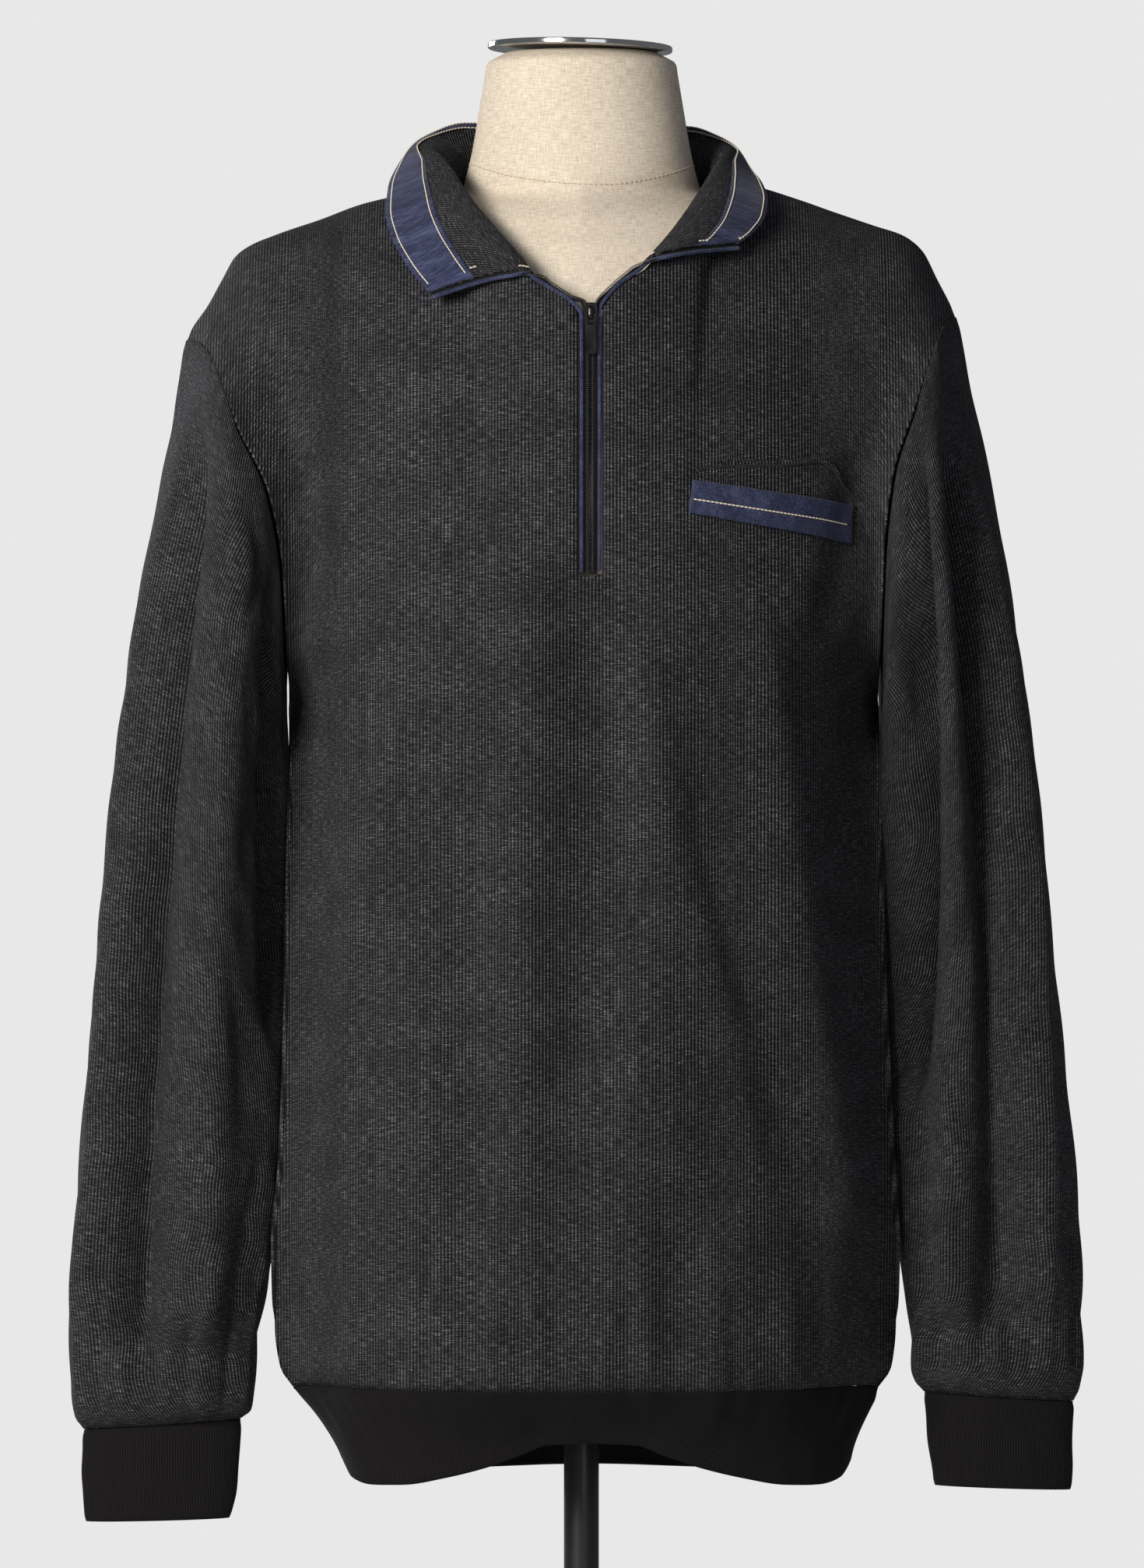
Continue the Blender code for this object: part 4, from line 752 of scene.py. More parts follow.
FRONT_TOP = Table("fraction depth right left", (
    (0.000, -0.1175, 1.2060, 1.2070),
    (0.028, -0.1170, 1.2098, 1.2120),
    (0.050, -0.1155, 1.2150, 1.2185),
    (0.088, -0.1120, 1.2203, 1.2255),
    (0.142, -0.1060, 1.2270, 1.2320),
    (0.170, -0.0990, 1.2360, 1.2385),
    (0.210, -0.0880, 1.2465, 1.2480),
    (0.255, -0.0730, 1.2575, 1.2595),
    (0.295, -0.0560, 1.2680, 1.2705),
    (0.330, -0.0320, 1.2790, 1.2812),
) + SHOULDER)
BACK_TOP = Table("fraction depth right left", (
    (0.000, 0.0620, 1.2750, 1.2750),
    (0.100, 0.0600, 1.2755, 1.2755),
    (0.200, 0.0520, 1.2780, 1.2785),
    (0.280, 0.0350, 1.2825, 1.2840),
) + SHOULDER)
RIGHT_SLEEVE = Table("down outer_z inner_z outer inner front back", (
    (0.000, 1.1990, 0.9940, 0.2240, 0.1660, -0.070, 0.074),
    (0.050, 1.1680, 0.9800, 0.2280, 0.1672, -0.077, 0.080),
    (0.110, 1.1320, 0.9620, 0.2350, 0.1666, -0.078, 0.082),
    (0.180, 1.0820, 0.9380, 0.2440, 0.1660, -0.074, 0.079),
    (0.260, 1.0250, 0.9050, 0.2525, 0.1664, -0.068, 0.074),
    (0.350, 0.9650, 0.8680, 0.2610, 0.1670, -0.060, 0.066),
    (0.450, 0.9000, 0.8250, 0.2688, 0.1679, -0.052, 0.058),
    (0.560, 0.8300, 0.7750, 0.2748, 0.1691, -0.044, 0.050),
    (0.670, 0.7620, 0.7240, 0.2815, 0.1715, -0.038, 0.044),
    (0.780, 0.7000, 0.6750, 0.2870, 0.1755, -0.033, 0.039),
    (0.880, 0.6450, 0.6320, 0.2900, 0.1830, -0.029, 0.035),
    (0.950, 0.6050, 0.6020, 0.2888, 0.1852, -0.026, 0.032),
    (0.985, 0.5900, 0.5935, 0.2865, 0.1868, -0.020, 0.026),
    (1.000, 0.5829, 0.5889, 0.2828, 0.1912, -0.012, 0.018),
))
LEFT_SLEEVE = Table("down outer_z inner_z outer inner front back", (
    (0.000, 1.2120, 0.9940, 0.2125, 0.1685, -0.070, 0.074),
    (0.050, 1.1800, 0.9800, 0.2178, 0.1695, -0.076, 0.080),
    (0.110, 1.1410, 0.9620, 0.2262, 0.1690, -0.077, 0.081),
    (0.180, 1.0950, 0.9380, 0.2355, 0.1685, -0.073, 0.078),
    (0.260, 1.0380, 0.9050, 0.2455, 0.1694, -0.067, 0.073),
    (0.350, 0.9750, 0.8680, 0.2553, 0.1708, -0.059, 0.065),
    (0.450, 0.9100, 0.8250, 0.2622, 0.1726, -0.051, 0.057),
    (0.560, 0.8350, 0.7750, 0.2685, 0.1747, -0.043, 0.049),
    (0.670, 0.7720, 0.7240, 0.2750, 0.1776, -0.037, 0.043),
    (0.780, 0.7050, 0.6750, 0.2808, 0.1803, -0.032, 0.038),
    (0.880, 0.6500, 0.6400, 0.2838, 0.1848, -0.028, 0.034),
    (0.950, 0.6200, 0.6160, 0.2838, 0.1870, -0.025, 0.031),
    (0.985, 0.6065, 0.6100, 0.2818, 0.1885, -0.020, 0.026),
    (1.000, 0.5988, 0.6041, 0.2795, 0.1925, -0.012, 0.018),
))
RIGHT_CUFF = Table("down outer_z inner_z outer inner half_depth", (
    (0.0, 0.5829, 0.5889, 0.2822, 0.1918, 0.0145),
    (0.25, 0.5700, 0.5740, 0.2822, 0.1930, 0.0135),
    (0.70, 0.5470, 0.5490, 0.2822, 0.1950, 0.0130),
    (1.0, 0.5310, 0.5330, 0.2808, 0.1985, 0.0130),
))
LEFT_CUFF = Table("down outer_z inner_z outer inner half_depth", (
    (0.0, 0.5988, 0.6041, 0.2789, 0.1931, 0.0145),
    (0.25, 0.5870, 0.5910, 0.2782, 0.1948, 0.0135),
    (0.70, 0.5650, 0.5670, 0.2780, 0.1975, 0.0130),
    (1.0, 0.5490, 0.5515, 0.2772, 0.1993, 0.0130),
))
HEM_EDGE = Table("fraction front back", (
    (0.00, 0.5805, 0.5565),
    (0.17, 0.5795, 0.5560),
    (0.28, 0.5735, 0.5555),
    (0.42, 0.5665, 0.5550),
    (0.58, 0.5605, 0.5545),
    (0.74, 0.5560, 0.5545),
    (0.88, 0.5550, 0.5550),
    (0.96, 0.5580, 0.5575),
    (1.00, 0.5640, 0.5640),
))
COLLAR_ROWS = Table("station right_x right_y right_z left_x left_y left_z rise", (
    (0.00, 0.0000, 0.0800, 1.3235, 0.0000, 0.0800, 1.3235, 0.001),
    (0.18, -0.0400, 0.0760, 1.3250, 0.0400, 0.0760, 1.3240, 0.002),
    (0.32, -0.0680, 0.0600, 1.3240, 0.0640, 0.0600, 1.3220, 0.004),
    (0.46, -0.0910, 0.0320, 1.3120, 0.0840, 0.0340, 1.3095, 0.008),
    (0.58, -0.1020, 0.0020, 1.2960, 0.0935, 0.0060, 1.2945, 0.012),
    (0.69, -0.1075, -0.0260, 1.2810, 0.1005, -0.0220, 1.2835, 0.011),
    (0.78, -0.1085, -0.0490, 1.2660, 0.1035, -0.0440, 1.2730, 0.010),
    (0.86, -0.1050, -0.0670, 1.2510, 0.1025, -0.0600, 1.2640, 0.008),
    (0.93, -0.0970, -0.0820, 1.2360, 0.0975, -0.0710, 1.2560, 0.007),
    (1.00, -0.0840, -0.0950, 1.2190, 0.0870, -0.0820, 1.2475, 0.006),
))
FORM_ROWS = Table("height half_width front back squareness", (
    (0.6350, 0.1130, -0.0780, 0.0780, 2.2),
    (0.6400, 0.1190, -0.0840, 0.0830, 2.2),
    (0.6600, 0.1250, -0.0900, 0.0880, 2.2),
    (0.7000, 0.1290, -0.0950, 0.0910, 2.2),
    (0.7500, 0.1290, -0.0970, 0.0890, 2.2),
    (0.8000, 0.1270, -0.0980, 0.0860, 2.2),
    (0.8500, 0.1270, -0.1000, 0.0850, 2.15),
    (0.9000, 0.1295, -0.1030, 0.0870, 2.1),
    (0.9500, 0.1330, -0.1060, 0.0910, 2.1),
    (1.0000, 0.1380, -0.1095, 0.0950, 2.1),
    (1.0500, 0.1460, -0.1125, 0.0980, 2.1),
    (1.1000, 0.1570, -0.1135, 0.0980, 2.05),
    (1.1400, 0.1660, -0.1090, 0.0950, 2.0),
    (1.1700, 0.1720, -0.1035, 0.0910, 1.9),
    (1.2000, 0.1760, -0.0975, 0.0865, 1.8),
    (1.2200, 0.1770, -0.0920, 0.0830, 1.7),
    (1.2380, 0.1740, -0.0842, 0.0772, 1.6),
    (1.2480, 0.1690, -0.0795, 0.0740, 1.52),
    (1.2550, 0.1600, -0.0745, 0.0700, 1.46),
    (1.2630, 0.1430, -0.0690, 0.0660, 1.42),
    (1.2700, 0.1170, -0.0620, 0.0610, 1.40),
    (1.2760, 0.0858, -0.0562, 0.0580, 1.42),
    (1.2820, 0.0682, -0.0525, 0.0550, 1.60),
    (1.2910, 0.0650, -0.0505, 0.0540, 1.90),
    (1.3060, 0.0615, -0.0485, 0.0530, 2.0),
    (1.3270, 0.0580, -0.0465, 0.0510, 2.0),
    (1.3480, 0.0545, -0.0470, 0.0510, 2.0),
    (1.3540, 0.0535, -0.0460, 0.0500, 2.0),
    (1.3580, 0.0470, -0.0400, 0.0440, 2.0),
    (1.3602, 0.0430, -0.0360, 0.0400, 2.0),
))


@dataclass(frozen=True)
class FoldSet:
    """Soft ridges and troughs, each along its own line, which fade out at both ends."""

    table: Table
    taper: float = 0.050

    def height(self, x: Array, z: Array) -> Array:
        """How far the folds raise a panel at places seen square on: bells across each line."""
        total = np.zeros(np.broadcast(x, z).shape)
        for top_x, top_z, foot_x, foot_z, width, height in self.table.rows:
            run = (top_z - z) / (top_z - foot_z)
            line = top_x + (foot_x - top_x) * np.clip(run, 0.0, 1.0)
            taper = min(self.taper / (top_z - foot_z), 0.45)
            fade = eased((run + taper) / (2 * taper)) * eased((1 + taper - run) / (2 * taper))
            total += height * fade * bump_at(x - line, width)
        return total

    def sleeve_height(self, around: Array, down: Array) -> Array:
        """How far the folds raise a sleeve: bells across each line, which turns round it on the way down."""
        total = np.zeros(around.shape)
        for top_around, foot_around, top_down, foot_down, width, height in self.table.rows:
            run = np.clip((down - top_down) / (foot_down - top_down), 0.0, 1.0)
            line = top_around + (foot_around - top_around) * run
            off = np.abs((around - line + 0.5) % 1.0 - 0.5)
            fade = eased((down - top_down + 0.08) / 0.12) * eased((foot_down + 0.06 - down) / 0.10)
            total += height * fade * bump_at(off, width)
        return total


FOLD_NAMES = "top_x top_z foot_x foot_z width height"
SLEEVE_FOLD_NAMES = "top_around foot_around top_down foot_down width height"
FRONT_FOLDS = FoldSet(Table(FOLD_NAMES, (
    (0.007, 1.060, 0.002, 0.780, 0.022, -0.0060),
    (-0.098, 0.985, -0.150, 0.680, 0.024, 0.0070),
    (-0.128, 1.100, -0.146, 0.900, 0.012, -0.0045),
    (0.058, 0.990, 0.128, 0.700, 0.020, -0.0060),
    (0.020, 0.860, 0.030, 0.640, 0.020, 0.0055),
    (-0.060, 0.900, -0.070, 0.640, 0.018, -0.0045),
    (0.110, 0.900, 0.148, 0.660, 0.016, 0.0045),
    (-0.175, 1.170, -0.148, 1.020, 0.014, -0.0070),
    (0.182, 1.170, 0.155, 1.020, 0.013, -0.0060),
    (-0.016, 0.680, -0.014, 0.612, 0.010, -0.0040),
    (0.050, 0.680, 0.052, 0.612, 0.011, -0.0040),
    (0.098, 0.676, 0.100, 0.612, 0.011, -0.0035),
    (-0.105, 0.680, -0.107, 0.612, 0.012, -0.0035),
)))
BACK_FOLDS = FoldSet(Table(FOLD_NAMES, (
    (-0.110, 1.120, -0.060, 0.800, 0.022, -0.0060),
    (0.112, 1.120, 0.066, 0.800, 0.022, -0.0060),
    (0.000, 0.960, 0.004, 0.640, 0.026, 0.0070),
    (-0.100, 0.850, -0.120, 0.630, 0.018, 0.0055),
    (0.104, 0.850, 0.122, 0.630, 0.018, 0.0055),
    (-0.168, 1.170, -0.148, 1.010, 0.014, -0.0060),
    (0.168, 1.170, 0.148, 1.010, 0.014, -0.0060),
    (-0.050, 0.680, -0.052, 0.612, 0.012, -0.0040),
    (0.056, 0.680, 0.058, 0.612, 0.012, -0.0040),
)))
RIGHT_SLEEVE_FOLDS = FoldSet(Table(SLEEVE_FOLD_NAMES, (
    (0.135, 0.205, 0.12, 0.88, 0.046, -0.0150),
    (0.265, 0.312, 0.08, 0.84, 0.050, 0.0070),
    (0.410, 0.435, 0.10, 0.46, 0.045, -0.0080),
    (0.860, 0.830, 0.24, 0.86, 0.050, -0.0070),
    (0.640, 0.660, 0.20, 0.70, 0.055, -0.0055),
    (0.220, 0.235, 0.80, 0.98, 0.030, -0.0035),
    (0.330, 0.320, 0.82, 0.98, 0.030, 0.0030),
    (0.720, 0.735, 0.80, 0.98, 0.035, -0.0035),
)))
LEFT_SLEEVE_FOLDS = FoldSet(Table(SLEEVE_FOLD_NAMES, (
    (0.150, 0.255, 0.12, 0.88, 0.046, -0.0130),
    (0.240, 0.350, 0.08, 0.84, 0.050, 0.0060),
    (0.400, 0.410, 0.12, 0.46, 0.048, -0.0080),
    (0.850, 0.840, 0.20, 0.82, 0.050, -0.0070),
    (0.650, 0.665, 0.22, 0.72, 0.055, -0.0055),
    (0.210, 0.225, 0.80, 0.98, 0.030, -0.0035),
    (0.310, 0.330, 0.82, 0.98, 0.030, 0.0030),
    (0.730, 0.720, 0.80, 0.98, 0.035, -0.0035),
)))
# The small creases that the solids leave out: beside the zip's end, under the arms, gathered into the hem.
FRONT_CREASES = FoldSet(Table(FOLD_NAMES, (
    (-0.024, 1.045, -0.036, 0.700, 0.018, 0.0045),
    (0.036, 1.030, 0.052, 0.720, 0.015, 0.0040),
    (-0.100, 0.985, -0.152, 0.690, 0.009, 0.0042),
    (-0.126, 0.980, -0.163, 0.750, 0.010, -0.0030),
    (0.098, 1.040, 0.150, 0.700, 0.014, 0.0065),
    (0.040, 0.985, 0.098, 0.740, 0.012, 0.0030),
    (-0.146, 1.120, -0.150, 0.985, 0.008, 0.0040),
    (-0.176, 1.185, -0.162, 0.960, 0.009, -0.0060),
    (0.184, 1.184, 0.153, 1.030, 0.009, 0.0045),
    (0.160, 1.140, 0.134, 1.030, 0.010, -0.0050),
    (0.160, 1.004, 0.166, 0.978, 0.012, 0.0060),
    (0.012, 1.058, 0.048, 1.012, 0.0050, -0.0026),
    (0.020, 1.070, 0.062, 1.038, 0.0060, 0.0018),
    (-0.004, 1.056, -0.030, 1.020, 0.0055, -0.0016),
    (-0.163, 1.150, -0.150, 1.060, 0.0060, -0.0032),
    (-0.148, 1.190, -0.158, 1.090, 0.0075, 0.0022),
    (0.170, 1.175, 0.158, 1.080, 0.0060, -0.0028),
    (0.150, 1.010, 0.158, 0.940, 0.0065, -0.0025),
    (-0.150, 1.000, -0.155, 0.930, 0.0060, -0.0022),
    (0.055, 1.160, 0.120, 1.130, 0.0100, 0.0012),
    (-0.060, 1.170, -0.100, 1.130, 0.0120, 0.0012),
    (0.060, 0.930, 0.094, 0.820, 0.0090, -0.0022),
    (-0.040, 0.960, -0.052, 0.840, 0.0110, 0.0016),
    (-0.118, 0.860, -0.130, 0.760, 0.0080, -0.0018),
    (-0.086, 0.700, -0.088, 0.610, 0.0055, -0.0022),
    (-0.050, 0.690, -0.051, 0.608, 0.0050, 0.0018),
    (-0.034, 0.672, -0.033, 0.608, 0.0045, -0.0020),
    (0.012, 0.676, 0.014, 0.608, 0.0050, 0.0018),
    (0.024, 0.690, 0.026, 0.608, 0.0050, -0.0022),
    (0.037, 0.670, 0.038, 0.608, 0.0040, 0.0014),
    (0.072, 0.700, 0.075, 0.608, 0.0055, 0.0020),
    (0.084, 0.668, 0.086, 0.608, 0.0045, -0.0022),
    (0.114, 0.690, 0.117, 0.608, 0.0060, 0.0022),
    (0.132, 0.672, 0.134, 0.608, 0.0050, -0.0020),
    (-0.128, 0.676, -0.130, 0.608, 0.0055, 0.0018),
    (-0.142, 0.690, -0.145, 0.608, 0.0050, -0.0020),
)), taper=0.018)
BACK_CREASES = FoldSet(Table(FOLD_NAMES, (
    (-0.152, 1.160, -0.150, 1.060, 0.0070, -0.0026),
    (0.155, 1.150, 0.150, 1.050, 0.0070, -0.0026),
    (-0.120, 1.010, -0.146, 0.920, 0.0085, -0.0024),
    (0.118, 1.020, 0.144, 0.930, 0.0085, -0.0024),
    (-0.030, 1.100, -0.020, 0.960, 0.0130, 0.0018),
    (0.040, 1.060, 0.026, 0.900, 0.0120, -0.0018),
    (-0.142, 0.690, -0.144, 0.608, 0.0055, -0.0020),
    (-0.086, 0.682, -0.086, 0.608, 0.0050, 0.0018),
    (-0.066, 0.700, -0.068, 0.608, 0.0055, -0.0020),
    (-0.024, 0.676, -0.024, 0.608, 0.0050, -0.0018),
    (-0.004, 0.690, -0.002, 0.608, 0.0055, 0.0020),
    (0.022, 0.672, 0.024, 0.608, 0.0045, -0.0018),
    (0.036, 0.690, 0.038, 0.608, 0.0050, 0.0018),
    (0.078, 0.684, 0.080, 0.608, 0.0055, 0.0020),
    (0.094, 0.670, 0.096, 0.608, 0.0045, -0.0020),
    (0.136, 0.690, 0.138, 0.608, 0.0055, -0.0020),
)), taper=0.018)
RIGHT_SLEEVE_CREASES = FoldSet(Table(SLEEVE_FOLD_NAMES, (
    (0.130, 0.205, 0.12, 0.88, 0.036, -0.0090),
    (0.275, 0.318, 0.08, 0.86, 0.030, 0.0040),
    (0.050, 0.095, 0.20, 0.86, 0.034, 0.0045),
    (0.410, 0.440, 0.06, 0.46, 0.034, -0.0080),
    (0.330, 0.240, 0.10, 0.20, 0.016, -0.0022),
    (0.420, 0.330, 0.13, 0.30, 0.018, -0.0026),
    (0.300, 0.350, 0.42, 0.60, 0.018, -0.0020),
    (0.120, 0.100, 0.34, 0.58, 0.022, 0.0018),
    (0.230, 0.250, 0.60, 0.76, 0.018, -0.0022),
    (0.400, 0.360, 0.66, 0.82, 0.018, -0.0020),
    (0.060, 0.070, 0.80, 0.97, 0.018, 0.0022),
    (0.130, 0.130, 0.84, 0.98, 0.014, -0.0024),
    (0.180, 0.185, 0.82, 0.98, 0.012, 0.0020),
    (0.265, 0.262, 0.84, 0.98, 0.012, 0.0022),
    (0.300, 0.298, 0.80, 0.98, 0.011, -0.0022),
    (0.380, 0.375, 0.84, 0.98, 0.014, -0.0024),
    (0.440, 0.430, 0.80, 0.98, 0.016, 0.0020),
    (0.620, 0.620, 0.82, 0.98, 0.015, -0.0022),
    (0.680, 0.682, 0.84, 0.98, 0.014, 0.0022),
    (0.780, 0.785, 0.82, 0.98, 0.014, 0.0022),
    (0.880, 0.880, 0.84, 0.98, 0.015, -0.0022),
    (0.700, 0.760, 0.40, 0.62, 0.022, -0.0020),
    (0.600, 0.680, 0.14, 0.30, 0.020, -0.0026),
)))
LEFT_SLEEVE_CREASES = FoldSet(Table(SLEEVE_FOLD_NAMES, (
    (0.150, 0.255, 0.12, 0.88, 0.036, -0.0090),
    (0.235, 0.350, 0.10, 0.84, 0.030, 0.0035),
    (0.080, 0.140, 0.20, 0.86, 0.034, 0.0045),
    (0.290, 0.420, 0.06, 0.56, 0.050, -0.0170),
    (0.310, 0.340, 0.14, 0.86, 0.100, -0.0080),
    (0.350, 0.260, 0.08, 0.20, 0.016, -0.0022),
    (0.430, 0.350, 0.12, 0.28, 0.018, -0.0028),
    (0.220, 0.280, 0.34, 0.52, 0.020, -0.0020),
    (0.330, 0.280, 0.56, 0.74, 0.018, 0.0020),
    (0.180, 0.210, 0.62, 0.80, 0.018, -0.0022),
    (0.090, 0.110, 0.44, 0.66, 0.022, 0.0018),
    (0.070, 0.080, 0.82, 0.97, 0.016, -0.0022),
    (0.150, 0.155, 0.80, 0.98, 0.013, 0.0022),
    (0.190, 0.192, 0.84, 0.98, 0.011, -0.0022),
    (0.245, 0.250, 0.82, 0.98, 0.012, 0.0022),
    (0.285, 0.282, 0.84, 0.98, 0.011, -0.0024),
    (0.370, 0.372, 0.82, 0.98, 0.014, -0.0024),
    (0.430, 0.440, 0.80, 0.98, 0.015, 0.0022),
    (0.600, 0.610, 0.84, 0.98, 0.015, -0.0022),
    (0.670, 0.668, 0.80, 0.98, 0.014, 0.0020),
    (0.790, 0.780, 0.82, 0.98, 0.014, 0.0022),
    (0.870, 0.880, 0.84, 0.98, 0.015, -0.0022),
    (0.720, 0.700, 0.38, 0.60, 0.022, -0.0020),
    (0.610, 0.700, 0.12, 0.30, 0.020, -0.0026),
)))


def body_inward(points: Array) -> Array:
    """The direction into the body at each point: level below the chest, and turned down over the shoulders."""
    rise = np.maximum(points[..., 2] - 1.100, 0.0)
    reach = np.stack([points[..., 0] - 0.002, points[..., 1], rise], axis=-1)
    return -unit(reach / np.array([0.190, 0.120, 0.150]) ** 2)


@dataclass
class BodySurface:
    """The outer surface that the body's panels, the collar's seam, the zip and the pocket are all laid on."""

    squareness: float = 2.35
    shoulder_squareness: float = 2.4
    armhole_grip: float = 6.0
    hem_rise: float = 0.0055
    side_swing: float = 0.020
    armhole_sink: float = 0.015

    def side_edge(self, level: Array, is_left: Array) -> Array:
        """x of a panel's side edge: the side seam below the armpit and the armhole seam above it."""
        height = HEM_HEIGHT + (ARMPIT_HEIGHT - HEM_HEIGHT) * np.clip(level, 0.0, 1.0)
        low = BODY_ROWS.read_side("", height, is_left)
        high = ARMHOLE_ROWS.read_side("", np.clip(level - 1.0, 0.0, 1.0), is_left)
        return np.where(level <= 1.0, low, high)

    def base(self, across: Array, level: Array, face: Face) -> Array:
        """Points before the folds: a superellipse across, which leans over the shoulders to the panel's top edge.

        Args:
            across: -1 to 1.
            level: 0 to 2.
            face: the front or the back.
        Returns:
            The points.
        """
        fraction, is_left = np.abs(across), across > 0
        turn = np.clip(level - 1.0, 0.0, 1.0)
        height = HEM_HEIGHT + (ARMPIT_HEIGHT - HEM_HEIGHT) * np.clip(level, 0.0, 1.0)
        side = face.name.lower()
        edge = self.side_edge(level, is_left)
        top = FRONT_TOP if face is Face.FRONT else BACK_TOP
        crown = (1.0 - fraction**self.squareness) ** (1.0 / self.squareness)
        depth = SIDE_SEAM_Y + (BODY_ROWS.read(side, height) - SIDE_SEAM_Y) * crown
        power = 2.0 / self.shoulder_squareness
        climb = np.sin(turn * pi / 2) ** power
        depth += (top.read("depth", fraction) - depth) * (1.0 - np.abs(np.cos(turn * pi / 2)) ** power)
        grip = fraction**self.armhole_grip
        depth = depth * (1.0 - grip) + ARMHOLE_ROWS.read(side, turn) * grip
        depth = depth + face.value * SEAM_GAP * 0.54 * (grip + (1 - grip) * turn**8)
        z = height + (top.read_side("", fraction, is_left) - ARMPIT_HEIGHT) * climb
        if face is Face.FRONT:
            z = z + self.hem_rise * crown * (1.0 - eased(level / 0.35))
        return np.stack([ZIP_X + (edge - ZIP_X) * fraction, depth, z], axis=-1)

    def at(self, across: Array, level: Array, face: Face, creases: float = 0.0) -> Array:
        """Points with the folds, which fade out at the seams that other pieces share.

        Args:
            across: -1 to 1.
            level: 0 to 2.
            face: the front or the back.
            creases: how much of the small creases and of the cloth's own unevenness is added.
        Returns:
            The points.
        """
        across, level = np.broadcast_arrays(np.asarray(across, float), np.asarray(level, float))
        points = self.base(across, level, face)
        turn = np.clip(level - 1.0, 0.0, 1.0)
        share = (1.0 - np.abs(across) ** 10) * (1.0 - turn**6)
        folds, fine = (FRONT_FOLDS, FRONT_CREASES) if face is Face.FRONT else (BACK_FOLDS, BACK_CREASES)
        x, z = points[..., 0], points[..., 2]
        raised = folds.height(x, z) * share
        if creases:
            soft = wander(x, z, 5 if face is Face.FRONT else 6, 14, 0.035, 0.14)
            raised = raised + creases * share * (fine.height(x, z) + 0.0011 * soft)
        swing = self.side_swing * window(level, 0.10, 0.16, 1.0, 0.10) * np.abs(across) ** 8
        sink = self.armhole_sink * bump_at(turn - 0.20, 0.17) * eased(turn / 0.10) * np.abs(across) ** 9
        points[..., 1] -= swing + face.value * sink
        return points - body_inward(points) * raised[..., None]

    def across_at(self, off_zip: Array, level: Array) -> Array:
        """The across value at a distance from the zip, right of it below 0 and left of it above 0."""
        off_zip, level = np.broadcast_arrays(np.asarray(off_zip, float), np.asarray(level, float))
        return off_zip / np.abs(self.side_edge(level, off_zip > 0) - ZIP_X)

    def front_at(self, x: Array, z: Array, creases: float = 0.0) -> Array:
        """Points of the front at places given square on, found by halving along each column."""
        x, z = np.broadcast_arrays(np.asarray(x, float), np.asarray(z, float))
        low, high = np.zeros(x.shape), np.full(x.shape, 2.0)
        for _ in range(30):
            middle = (low + high) / 2
            across = (x - ZIP_X) / np.abs(self.side_edge(middle, x > ZIP_X) - ZIP_X)
            below = self.base(across, middle, Face.FRONT)[..., 2] < z
            low, high = np.where(below, middle, low), np.where(below, high, middle)
        return self.at(across, middle, Face.FRONT, creases)

    def slit(self, off_zip: Array, turns: Array, depth: float) -> Array:
        """Points along the zip's slit at a distance from its middle, moved in from the cloth's face by depth."""
        level = 1.0 + np.asarray(turns, float)
        points = self.at(self.across_at(off_zip, level), level, Face.FRONT)
        return points + body_inward(points) * depth

    def armhole(self, around: Array, side: Side) -> Array:
        """The armhole seam: around is 0 at the shoulder tip, through the front, 0.5 at the armpit, then the back."""
        in_front = around <= 0.5
        turn = np.where(in_front, 1.0 - 2.0 * around, 2.0 * around - 1.0)
        across = np.full(around.shape, float(side.value))
        front = self.at(across, 1.0 + turn, Face.FRONT)
        return np.where(in_front[..., None], front, self.at(across, 1.0 + turn, Face.BACK))


SURFACE = BodySurface()


def dress_sheet(node: str) -> None:
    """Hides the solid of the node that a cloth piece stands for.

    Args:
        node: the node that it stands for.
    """
    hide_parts(node)


